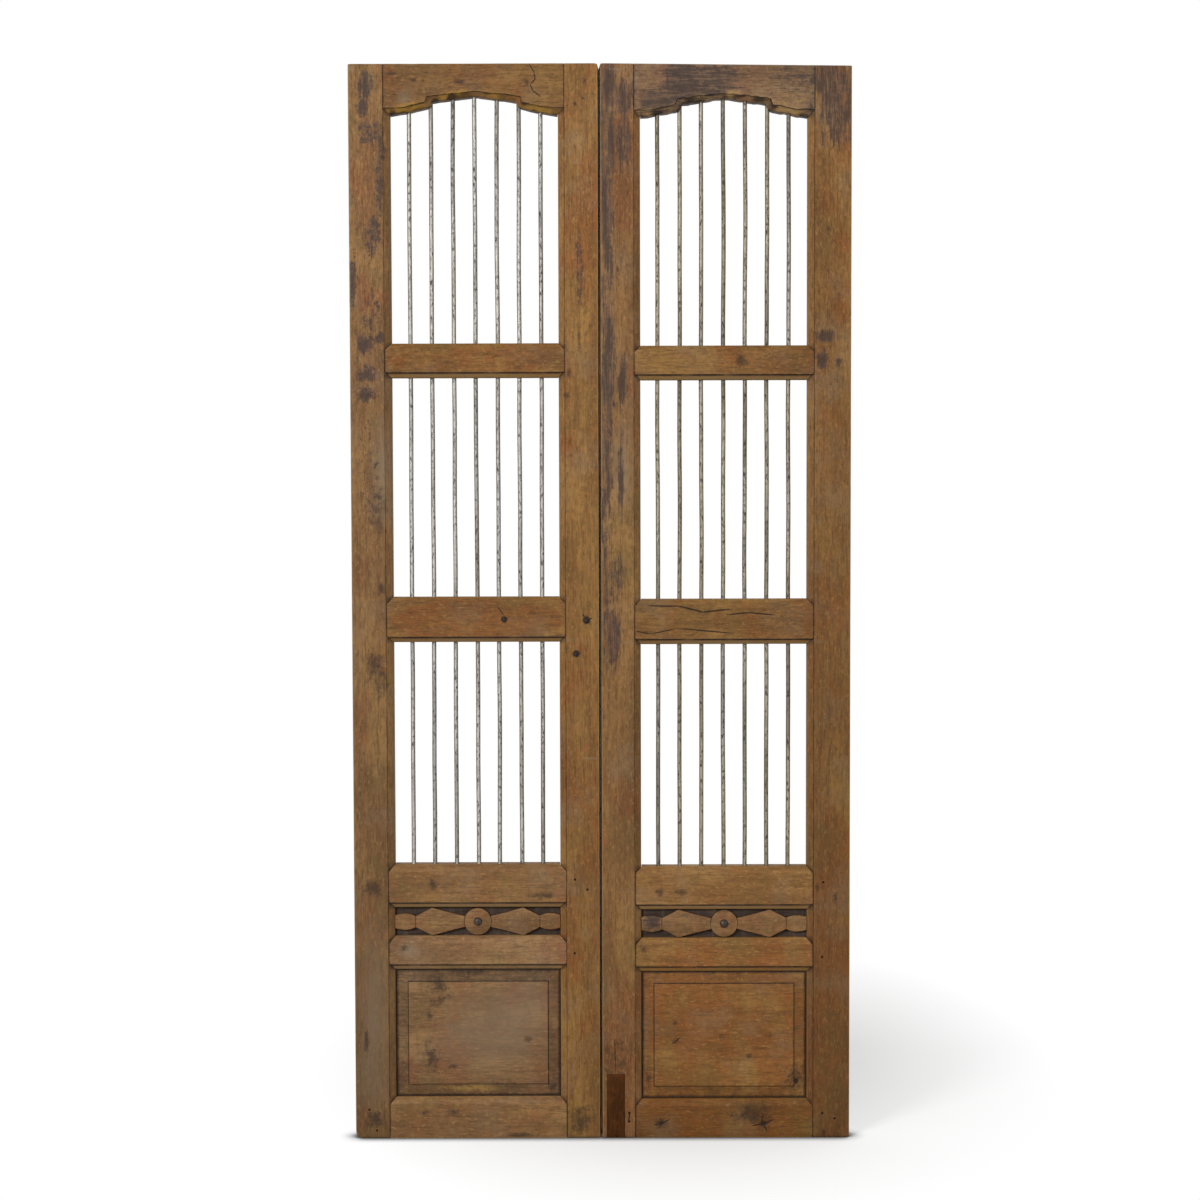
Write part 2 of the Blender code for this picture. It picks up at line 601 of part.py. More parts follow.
def jali_quarter():
    """Upper edge of the strip's half, from its middle to its end: a disc, a lozenge, a neck and a bud."""
    neck = OPENING_WIDTH / 2 - FIT - JALI_BUD_LENGTH
    peak = neck - JALI_PEAK_SETBACK
    peak_height = JALI_OPENING_HEIGHT / 2 - JALI_PEAK_CLEARANCE
    disc = JALI_OPENING_HEIGHT / 2 - JALI_DISC_CLEARANCE
    waist = JALI_WAIST_HEIGHT / 2
    waist_angle = asin(waist / disc)
    runs = [i / JALI_ARC_STEPS for i in range(JALI_ARC_STEPS + 1)]
    points = []
    for run in runs:
        angle = pi / 2 + (waist_angle - pi / 2) * run
        points.append((disc * cos(angle), disc * sin(angle)))
    inner_slope = (peak_height - waist) / (peak - disc)
    outer_slope = (peak_height - JALI_NECK_HEIGHT / 2) / JALI_PEAK_SETBACK
    points += [
        (peak - JALI_PEAK_SOFTNESS, peak_height - inner_slope * JALI_PEAK_SOFTNESS),
        (peak, peak_height),
        (peak + JALI_PEAK_SOFTNESS, peak_height - outer_slope * JALI_PEAK_SOFTNESS),
        (neck, JALI_NECK_HEIGHT / 2),
    ]
    for run in runs[1:]:
        base = JALI_NECK_HEIGHT if run < 1 / 2 else JALI_END_HEIGHT
        swell = max(0, sin(pi * run)) ** JALI_BUD_FULLNESS
        points.append((neck + JALI_BUD_LENGTH * run, (base + (JALI_BUD_HEIGHT - base) * swell) / 2))
    return points


def jali_outline():
    """The whole strip, turned out of its quarter, with the disc's top and bottom given once."""
    quarter = jali_quarter()
    top, foot = quarter[0][1], -quarter[0][1]
    upper_right = quarter[1:]
    lower_right = [(across, -height) for across, height in reversed(upper_right)]
    lower_left = [(-across, -height) for across, height in upper_right]
    upper_left = [(-across, height) for across, height in reversed(upper_right)]
    return [(0, top), *upper_right, *lower_right, (0, foot), *lower_left, *upper_left]


def make_jali(leaf, teak, board, iron):
    """The fret-cut strip, the board behind it and the domed stud in its middle."""
    low, high = leaf.rails["frieze"][1], leaf.rails["lock"][0]
    middle_x = leaf.x((leaf.hinge_side + leaf.meeting_side) / 2)
    middle_z = (low + high) / 2
    outline = [(middle_x + across, middle_z + height) for across, height in jali_outline()]
    shape = prism(outline, y(JALI_SET_BACK), y(JALI_SET_BACK + JALI_THICKNESS), ALONG_Y)
    strip = part(f"{leaf.name}_jali_strip", mesh_from("jali_strip", shape), teak, leaf.swing)

    hole = bmesh.new()
    bmesh.ops.create_cone(
        hole, cap_ends=True, segments=STUD_SIDES, radius1=STUD_SHANK_DIAMETER / 2 + FIT,
        radius2=STUD_SHANK_DIAMETER / 2 + FIT, depth=JALI_THICKNESS + 2 * OVERRUN,
        matrix=Matrix.Translation((middle_x, y(JALI_SET_BACK + JALI_THICKNESS / 2), middle_z))
        @ Matrix.Rotation(pi / 2, 4, "X"))
    tool(strip, "stud_hole", "DIFFERENCE", hole)

    reach = HOUSING_DEPTH - FIT
    backing = leaf_box(
        leaf, (leaf.hinge_side - reach, leaf.meeting_side + reach), (BACKING_FRONT, BACKING_BACK),
        (low - reach, high + reach))
    part(f"{leaf.name}_jali_backing", mesh_from("jali_backing", backing), board, leaf.swing)

    turns = [pi / 2 * i / STUD_STEPS for i in range(STUD_STEPS + 1)]
    dome = [(STUD_DIAMETER / 2 * sin(turn), FIT + STUD_RISE * cos(turn)) for turn in turns]
    shank = STUD_SHANK_DIAMETER / 2
    stem = [(shank, FIT), (shank, -JALI_THICKNESS), (0, -JALI_THICKNESS)]
    mesh = turned_mesh("jali_stud", dome + stem, STUD_SIDES)
    round_shaded(mesh)
    stud = part(f"{leaf.name}_jali_stud", mesh, iron, leaf.swing, (middle_x, y(JALI_SET_BACK), middle_z))
    stud.rotation_euler.x = pi / 2


def screw_holes(inner, outer):
    """Countersunk holes through a flap, in two staggered rows, widest at the inner face."""
    thickness = abs(outer - inner)
    turn = Matrix.Rotation(pi / 2 if outer > inner else -pi / 2, 4, "Y")
    taper = (SCREW_SINK_DIAMETER - SCREW_HOLE_DIAMETER) / 2 / thickness
    holes = []
    for i in range(SCREW_COUNT):
        z = SCREW_END_MARGIN + (HINGE_LENGTH - 2 * SCREW_END_MARGIN) * i / (SCREW_COUNT - 1)
        back = -FLAP_REACH + SCREW_FRONT_MARGIN + SCREW_STAGGER * (i % 2)
        hole = bmesh.new()
        bmesh.ops.create_cone(
            hole, cap_ends=True, segments=SCREW_SIDES, depth=thickness + 2 * FIT,
            radius1=SCREW_SINK_DIAMETER / 2 + taper * FIT, radius2=SCREW_HOLE_DIAMETER / 2 - taper * FIT,
            matrix=Matrix.Translation(((inner + outer) / 2, back, z)) @ turn)
        holes.append(hole)
    return holes


def flap_mesh(leaf, label, side, own):
    """A hinge flap: a plate with its own knuckles, cleared for the other flap's and bored for the pin."""
    step = HINGE_LENGTH / KNUCKLE_COUNT
    half_gap = KNUCKLE_GAP / 2
    inner = side * leaf.hand * FLAP_GAP / 2
    outer = side * leaf.hand * (FLAP_GAP / 2 + FLAP_THICKNESS)
    plate = box((inner, outer), (-FLAP_REACH, 0), (0, HINGE_LENGTH))
    flap = part(label, mesh_from(label, plate), hinge_iron)
    barrels = []
    reliefs = []
    for i in range(KNUCKLE_COUNT):
        low = i * step
        if i % 2 == own:
            foot = low + half_gap if i else 0
            head = low + step - half_gap if i < KNUCKLE_COUNT - 1 else HINGE_LENGTH
            barrels.append(cylinder(KNUCKLE_RADIUS, KNUCKLE_SIDES, (0, 0), (foot, head)))
        else:
            foot = low if i else -OVERRUN
            head = low + step if i < KNUCKLE_COUNT - 1 else HINGE_LENGTH + OVERRUN
            reliefs.append(cylinder(PIN_SETBACK, KNUCKLE_SIDES, (0, 0), (foot, head)))
    tool(flap, "barrels", "UNION", *barrels)
    tool(flap, "reliefs", "DIFFERENCE", *reliefs)
    bore = cylinder(PIN_RADIUS + FIT, PIN_SIDES, (0, 0), (-OVERRUN, HINGE_LENGTH + OVERRUN))
    tool(flap, "bore", "DIFFERENCE", bore)
    tool(flap, "screw_holes", "DIFFERENCE", *screw_holes(inner, outer))
    mesh = finished_mesh(flap)
    round_shaded(mesh)
    return mesh


def hinge_pin_mesh():
    """A plain pin with a low head at each end, just clear of the knuckles."""
    top = HINGE_LENGTH + FIT
    profile = [
        (0, top + PIN_HEAD_HEIGHT), (PIN_HEAD_RADIUS, top + PIN_HEAD_HEIGHT), (PIN_HEAD_RADIUS, top),
        (PIN_RADIUS, top), (PIN_RADIUS, -FIT), (PIN_HEAD_RADIUS, -FIT),
        (PIN_HEAD_RADIUS, -FIT - PIN_HEAD_HEIGHT), (0, -FIT - PIN_HEAD_HEIGHT),
    ]
    mesh = turned_mesh("hinge_pin", profile, PIN_SIDES)
    round_shaded(mesh)
    return mesh


def make_hinges(leaf, iron):
    """Butt hinges: the leaf flap swings with the leaf, and the jamb flap and the pin stay still."""
    leaf_flap = flap_mesh(leaf, "leaf_flap", 1, 1)
    jamb_flap = flap_mesh(leaf, "jamb_flap", -1, 0)
    pin = hinge_pin_mesh()
    still = leaf.swing.location
    for place, z in leaf.hinge_zs.items():
        name = f"{leaf.name}_{place}_hinge"
        part(f"{name}_leaf_flap", leaf_flap, iron, leaf.swing, (0, 0, z))
        part(f"{name}_jamb_flap", jamb_flap, iron, None, (still.x, still.y, z))
        part(f"{name}_pin", pin, iron, None, (still.x, still.y, z))


def make_leaf(leaf, teak):
    hinge_stile = make_stile(leaf, "hinge", teak)
    meeting_stile = make_stile(leaf, "meeting", teak)
    seat_hinges(leaf, hinge_stile)
    make_rails(leaf, teak)
    make_rods(leaf, rod_iron)
    make_jali(leaf, teak, backing_board, stud_iron)
    make_panel(leaf, teak)
    make_hinges(leaf, hinge_iron)
    return meeting_stile


for old in list(bpy.data.objects):
    bpy.data.objects.remove(old)
parts = bpy.data.collections.new("pair_of_jali_doors")
cutters = bpy.data.collections.new("cutters")
for group in (parts, cutters):
    bpy.context.scene.collection.children.link(group)

left_teak = material("left_leaf_teak", (0.24, 0.13, 0.055), 0.6)
right_teak = material("right_leaf_teak", (0.22, 0.12, 0.055), 0.6)
patch_teak = material("patch_teak", (0.10, 0.055, 0.03), 0.65)
backing_board = material("backing_board", (0.07, 0.05, 0.047), 0.8)
rod_iron = material("rod_iron", (0.36, 0.34, 0.31), 0.5, 0.8)
stud_iron = material("stud_iron", (0.06, 0.05, 0.045), 0.45, 0.8)
hinge_iron = material("hinge_iron", (0.07, 0.06, 0.055), 0.6, 0.8)

left = Leaf("left", 1, LEFT_HINGE_STILE_WIDTH, 0)
right = Leaf("right", -1, RIGHT_HINGE_STILE_WIDTH, RIGHT_LEAF_DROP)
pair_width = left.back_width + MEETING_GAP + right.back_width

for leaf in (left, right):
    leaf.swing = bpy.data.objects.new(f"{leaf.name}_leaf_swing", None)
    leaf.swing.location = (-leaf.hand * (pair_width / 2 - PIN_INSET), PIN_Y, 0)
    parts.objects.link(leaf.swing)

make_leaf(left, left_teak)
right_meeting_stile = make_leaf(right, right_teak)
let_in_patch(right, right_meeting_stile, patch_teak)
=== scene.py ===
import json
from math import asin, cos, hypot, pi, radians, sin

import bmesh
import bpy
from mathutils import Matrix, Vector, noise

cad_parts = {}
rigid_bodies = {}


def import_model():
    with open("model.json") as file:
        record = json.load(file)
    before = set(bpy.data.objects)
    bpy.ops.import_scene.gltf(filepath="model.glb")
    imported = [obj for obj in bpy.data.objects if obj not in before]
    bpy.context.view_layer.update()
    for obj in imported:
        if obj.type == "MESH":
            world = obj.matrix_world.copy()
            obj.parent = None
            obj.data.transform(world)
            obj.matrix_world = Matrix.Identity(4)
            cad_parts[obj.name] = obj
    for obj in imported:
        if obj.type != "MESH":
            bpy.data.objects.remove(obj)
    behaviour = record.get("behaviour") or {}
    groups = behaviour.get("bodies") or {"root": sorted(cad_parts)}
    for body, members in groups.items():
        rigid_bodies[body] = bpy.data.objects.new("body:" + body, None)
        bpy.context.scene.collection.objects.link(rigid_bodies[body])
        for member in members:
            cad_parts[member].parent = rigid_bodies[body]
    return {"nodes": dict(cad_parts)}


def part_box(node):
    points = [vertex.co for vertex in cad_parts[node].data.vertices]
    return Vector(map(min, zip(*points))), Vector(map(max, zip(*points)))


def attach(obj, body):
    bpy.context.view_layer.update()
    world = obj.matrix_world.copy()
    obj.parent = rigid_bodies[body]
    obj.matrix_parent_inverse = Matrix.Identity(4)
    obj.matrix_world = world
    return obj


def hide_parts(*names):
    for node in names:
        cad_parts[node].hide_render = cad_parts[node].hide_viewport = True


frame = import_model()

for leftover in [o for o in bpy.data.objects if o.name in ("Cube", "Light", "Camera")]:
    bpy.data.objects.remove(leftover)
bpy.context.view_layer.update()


# Stiles
# Four teak uprights carry the two leaves, planed by hand, with a quirk and a chamfer run along the edge towards the
# openings. That moulding is cut away on a mitre wherever a rail laps it, and the outer edge of each hinge stile is
# let in for the hinges. Years of use have rubbed the arrises and the corners.
LEAVES = ("left", "right")
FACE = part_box("left_hinge_stile")[0][1]
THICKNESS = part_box("left_hinge_stile")[1][1] - FACE
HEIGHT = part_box("left_hinge_stile")[1][2]
WIDTH = -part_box("left_hinge_stile")[0][0]       # of one leaf
OPENINGS = {"left": (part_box("left_hinge_stile")[1][0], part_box("left_meeting_stile")[0][0]),
            "right": (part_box("right_meeting_stile")[1][0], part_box("right_hinge_stile")[0][0])}
MOULD_WIDTH = 0.012
MOULD_DEPTH = 0.008
QUIRK = 0.0015
NOTCH_FLOOR = 0.0087            # where the moulding is cut away behind a rail's ear
SEAT_FRONT = 0.0077             # wood left in front of a hinge seat
SEAT_DEPTH = 0.0058
SEAT_PLAY = 0.0003
BEVEL = 0.0019                  # the meeting edges are planed back by this much, front to back
MEETING_SWELL = 0.00017         # and the old wood has swollen until they almost touch at the back
RUB = 0.0013                    # radius of a worn arris
RUB_CHANGE = 0.0007
CHIP = 0.004
CHIP_START = 0.35               # noise above this chips the arris
BACK_RUB = 0.0012
END_EASE = 0.0016               # the arris at a stile's head and foot
FACE_WAVE = 0.0002              # the plane left the faces this uneven
FACE_POINTS = 7
STEP = 0.008                    # between rings along a piece
SLIVER = 0.0001
SHARP = radians(38)             # an edge that turns more than this stays crisp
# Dirt and painted shade darken the stiles' quirks, the mitres at each joint and the gap between the two leaves.
STILE_QUIRK_SHADE_AND_DIRT = 0.55
SHADE_AND_DIRT_CHANGE = 0.6               # how much the dirt and painted shade in a quirk come and go along it
JOINT_SHADE_AND_DIRT = 0.8
SEAM_SHADE = 1.5                # painted shade on the meeting edges, between the two leaves
SEAM_FRONT = 0.002
RAILS = ("bottom", "frieze", "lock", "middle", "upper", "top")
TOP_LEAN = {"left": 0, "right": 0.0055}     # a leaf's head falls by this much towards its hinges
TOP_LEAN_DEPTH = 0.06
# Rings lie close together at a stile's foot and head, where its corners are rubbed, and at each joint.
FOOT_RINGS = (0, 0.001, 0.003, 0.006, 0.010, 0.015, 0.021, 0.028)
HEAD_RINGS = (0.020, 0.014, 0.010, 0.0065, 0.004, 0.002, 0.0007, 0)
JOINT_NEAR = 0.002
JOINT_FAR = 0.006
MITRE_CLEAR = 0.016             # past a mitre, with none on it


def rail_span(leaf, rail):
    """Lower and upper edge of a rail, to a tenth of a millimetre."""
    low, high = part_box(f"{leaf}_{rail}_rail")
    return round(low[2], 4), round(high[2], 4)


def head_fall(leaf, x):
    """How much lower than its meeting corner a leaf's head is there."""
    return TOP_LEAN[leaf] * abs(x) / WIDTH


def rubbed(place, seed):
    """Radius of a worn arris at a place along it, with a chip here and there."""
    wave = noise.noise((place * 8, seed, 0.5))
    nick = noise.noise((place * 45, seed + 7.3, 0.5))
    return RUB + RUB_CHANGE * wave + CHIP * max(0, nick - CHIP_START)


def edge_section(moulded, rub, crisp=True):
    """Half of a section, from the wall of an edge to the face: distance in from the edge, depth, wear, and dirt
    with painted shade.

    Where the moulding isn't crisp its quirk has worn away, and only the chamfer is left.
    """
    if not moulded:
        return [[0, THICKNESS / 2, 0, 0], [0, rub, 0.6, 0], [0.3 * rub, 0.3 * rub, 1, 0], [rub, 0, 0.6, 0]]
    slope = (MOULD_DEPTH - QUIRK) / MOULD_WIDTH
    if not crisp:
        return [
            [0, THICKNESS / 2, 0, 0.3],
            [0, MOULD_DEPTH + 0.0006, 0.4, 0.15],
            [0.001, MOULD_DEPTH - 0.0008, 0.5, 0.1],
            [0.3 * MOULD_WIDTH, 0.62 * MOULD_DEPTH, 0.1, 0],
            [0.55 * MOULD_WIDTH, 0.34 * MOULD_DEPTH, 0, 0],
            [0.75 * MOULD_WIDTH, 0.15 * MOULD_DEPTH, 0.1, 0],
            [0.9 * MOULD_WIDTH, 0.045 * MOULD_DEPTH, 0.2, 0.15],
            [MOULD_WIDTH, 0.0002, 0.15, 0.2],
            [MOULD_WIDTH + 0.0009, 0, 0.1, 0.1],
            [MOULD_WIDTH + 0.003, 0, 0, 0],
        ]
    return [
        [0, THICKNESS / 2, 0, 0.3],
        [0, MOULD_DEPTH + 0.0006, 0.5, 0.15],
        [0.001, MOULD_DEPTH - 0.0008, 0.7, 0],
        [0.35 * MOULD_WIDTH, QUIRK + 0.65 * MOULD_WIDTH * slope - 0.0006, 0.15, 0],
        [0.7 * MOULD_WIDTH, QUIRK + 0.3 * MOULD_WIDTH * slope - 0.0004, 0, 0.1],
        [MOULD_WIDTH - 0.0015, QUIRK, 0, 0.5],
        [MOULD_WIDTH, QUIRK + 0.0005, 0, 1],
        [MOULD_WIDTH, 0.0006, 0, 1],
        [MOULD_WIDTH + 0.0009, 0, 0.1, 0.4],
        [MOULD_WIDTH + 0.003, 0, 0, 0],
    ]


def face_section(start, stop):
    """Points of a section across the flat of the face."""
    return [[start + (stop - start) * i / FACE_POINTS, 0, 0, 0] for i in range(FACE_POINTS + 1)]


def stile_section(width, bevel, rub, notched, seated):
    """Section of a stile, all the way round: distance from the opening, depth, wear, dirt and painted shade."""
    cut = SEAT_DEPTH if seated else 0
    at_seat = width + bevel * SEAT_FRONT / THICKNESS
    section = [
        [width + bevel - cut - BACK_RUB, THICKNESS, 0.5, 0],
        [width + bevel - cut, THICKNESS - BACK_RUB, 0.5, 0],
        [at_seat - cut, SEAT_FRONT, 0, 0.4 if seated else 0],
        [at_seat, SEAT_FRONT, 0, 0],
    ]
    section += [[width - inward, *rest] for inward, *rest in edge_section(False, rub)[1:]]
    section += face_section(width - rub - 0.004, MOULD_WIDTH + 0.006)
    for point in reversed(edge_section(True, rub)):
        point[3] *= STILE_QUIRK_SHADE_AND_DIRT
        if notched and (point[0] < MOULD_WIDTH or point[1] > QUIRK):
            point[1] = max(point[1], NOTCH_FLOOR)
        section.append(point)
    return section + [[0, THICKNESS - BACK_RUB, 0.4, 0.1], [BACK_RUB, THICKNESS, 0.4, 0],
                      [width / 2, THICKNESS, 0, 0]]


def spaced(start, stop, step=STEP):
    """Even places from start to stop."""
    count = max(1, round((stop - start) / step))
    return [start + (stop - start) * i / count for i in range(count + 1)]


def stile_stations(spans, seats):
    """Rings up a stile: height, mitre slope, whether notched, whether seated, dirt and painted shade on the moulding.
    """
    foot = [*FOOT_RINGS, *spaced(FOOT_RINGS[-1], spans[0][1] - MITRE_CLEAR)[1:]]
    stations = [(z, 0, True, False, 0) for z in foot]
    for (_, high), (low, top) in zip(spans, spans[1:]):
        stations += [(high - SLIVER, -1, True, False, 1), (high, -1, False, False, 1)]
        stations += [(high + JOINT_NEAR, 0, False, False, 0.5), (high + JOINT_FAR, 0, False, False, 0.1)]
        edges = [edge for seat in seats if high < seat[0] < low for edge in seat]
        stops = [high + JOINT_FAR, *edges, low - JOINT_FAR]
        for i, (start, stop) in enumerate(zip(stops, stops[1:])):
            inside = i % 2 == 1
            ladder = spaced(start + SLIVER, stop) if i else spaced(start, stop)[1:]
            stations += [(z, 0, False, inside, 0.1 if z > low - JOINT_FAR - SLIVER else 0) for z in ladder]
        stations += [(low - JOINT_NEAR, 0, False, False, 0.5), (low, 1, False, False, 1)]
        stations.append((low + SLIVER, 1, True, False, 1))
        if top < HEIGHT:
            stations += [(z, 0, True, False, 0) for z in spaced(low + MITRE_CLEAR, top - MITRE_CLEAR)]
    head = spaced(spans[-1][0] + MITRE_CLEAR, HEIGHT - HEAD_RINGS[0])[:-1]
    head += [HEIGHT - drop for drop in HEAD_RINGS]
    return stations + [(z, 0, True, False, 0) for z in head]


def wood_shape():
    """An empty shape, and the layers in which its points carry what the teak reads."""
    shape = bmesh.new()
    layers = {label: shape.verts.layers.float.new(label) for label in ("wear", "grime", "tone", "warmth")}
    layers["grain"] = shape.verts.layers.float_vector.new("grain")
    return shape, layers


def wood_point(shape, layers, spot, *looks):
    """A point with its wear and painted highlight, dirt and painted shade, tone, warmth and place in the grain."""
    vert = shape.verts.new(spot)
    for layer, look in zip(layers.values(), looks):
        vert[layer] = look
    return vert


def placed(name, data):
    """A new object of that name in the scene."""
    thing = bpy.data.objects.new(name, data)
    bpy.context.scene.collection.objects.link(thing)
    return thing


def wood_piece(name, shape):
    """A piece from a closed shape, its faces outward and smooth but for the arrises."""
    bmesh.ops.triangulate(shape, faces=[f for f in shape.faces if len(f.verts) > 4])
    bmesh.ops.recalc_face_normals(shape, faces=shape.faces)
    mesh = bpy.data.meshes.new(name)
    shape.to_mesh(mesh)
    shape.free()
    mesh.shade_smooth()
    mesh.set_sharp_from_angle(angle=SHARP)
    return placed(name, mesh)


def board_from_rings(name, rings, grain_axis, seed, tones, warmth):
    """A closed wooden piece through rings of (x, y, z, wear and painted highlight, dirt and painted shade), its grain
    running along one axis.

    The tones are how much lighter or darker the board is at the floor and at the leaf's full height.
    """
    shape, layers = wood_shape()
    rows = []
    for ring in rings:
        row = []
        for x, y, z, wear, grime in ring:
            tone = tones[0] + (tones[1] - tones[0]) * z / HEIGHT
            across, along = (x, z) if grain_axis == "z" else (z, x)
            grain = (across + seed, y + 2 * seed, along + 3 * seed)
            row.append(wood_point(shape, layers, (x, y, z), wear, grime, tone, warmth, grain))
        rows.append(row)
    for near, far in zip(rows, rows[1:]):
        for i in range(len(near)):
            shape.faces.new((near[i - 1], near[i], far[i], far[i - 1]))
    for cap in (rows[0], rows[-1]):
        shape.faces.new(cap)
    bmesh.ops.remove_doubles(shape, verts=shape.verts, dist=0.00002)
    bmesh.ops.dissolve_degenerate(shape, edges=shape.edges, dist=0.000005)
    return wood_piece(name, shape)


def linear(hex_colour):
    """An sRGB hex colour as linear red, green, blue and a full alpha."""
    parts = [int(hex_colour[i:i + 2], 16) / 255 for i in (1, 3, 5)]
    return [c / 12.92 if c <= 0.04045 else ((c + 0.055) / 1.055) ** 2.4 for c in parts] + [1]


def give(tree, node, sockets):
    """Gives a node's sockets values or links; a node given as a value stands for its first output."""
    for socket, value in sockets.items():
        if isinstance(value, bpy.types.Node):
            value = value.outputs[0]
        if isinstance(value, bpy.types.NodeSocket):
            tree.links.new(value, node.inputs[socket])
        else:
            node.inputs[socket].default_value = value


def add(tree, kind, sockets=None, **settings):
    """Adds a node with its settings, and gives its sockets values or links."""
    made = tree.nodes.new(kind)
    for label, value in settings.items():
        setattr(made, label, value)
    give(tree, made, sockets or {})
    return made


def per_mm(*sizes):
    """Texture scale at which one unit of a pattern measures these millimetres."""
    return [1000 / size for size in sizes]


def new_material(name):
    """A new material, its tree and its shader."""
    material = bpy.data.materials.new(name)
    material.use_nodes = True
    return material, material.node_tree, material.node_tree.nodes["Principled BSDF"]


def spots(tree, place, marks, reach=1.25):
    """How far inside any mark a point on the front lies: each has its middle, width, height, turn and most.

    It rises from 0 at the reach, which is 1 at the mark's own edge, to 1 or the mark's own most in its middle.
    """
    depth = 0.03                # a mark stays on the front
    inside = 0.0
    for x, z, width, height, *more in marks:
        turn, most = [*more, *(0, 1)[len(more):]]
        near = add(tree, "ShaderNodeMapping", {
            "Vector": place, "Location": (x / 1000, FACE, z / 1000), "Rotation": (0, -radians(turn), 0),
            "Scale": (reach * width / 2000, depth, reach * height / 2000)}, vector_type="TEXTURE")
        rise = add(tree, "ShaderNodeTexGradient", {"Vector": near}, gradient_type="SPHERICAL")
        rise = add(tree, "ShaderNodeMath", {0: rise.outputs["Fac"], 1: most}, operation="MINIMUM")
        inside = add(tree, "ShaderNodeMath", {0: inside, 1: rise}, operation="MAXIMUM")
    return inside


# Old teak, planed by hand, oiled and painted long ago, then rubbed bare: a mid-brown open grain with darker figure,
# purple-brown flakes of the last paint, grey bleached places, black stains round iron, and dirt in every quirk.
# Painted shade darkens the quirks, joints and creases, and a painted highlight lightens the rails' lower mouldings.
TEAK_MID = "#7f5b36"
TEAK_LIGHT = "#9a7546"
TEAK_DEEP = "#4d351e"
TEAK_RED = "#814f2d"
TEAK_GREY = "#826e56"
TEAK_OLIVE = "#67532e"
# Bare wood; also the colour of the painted highlight on the rails' lower mouldings
TEAK_BARE_AND_HIGHLIGHT = "#a68352"
PAINT_FILM = "#57433a"
OLD_PAINT = "#2f231c"
OCHRE = "#a6803f"
STAIN = "#33251a"
# Dirt; also the colour of the painted shade in quirks, joints, creases and the gap between the leaves
DIRT_AND_SHADE = "#20150d"
TEAK_GLOSS = 0.22
PAINT_REACH = 1.8               # painted marks fray this far past their own edge


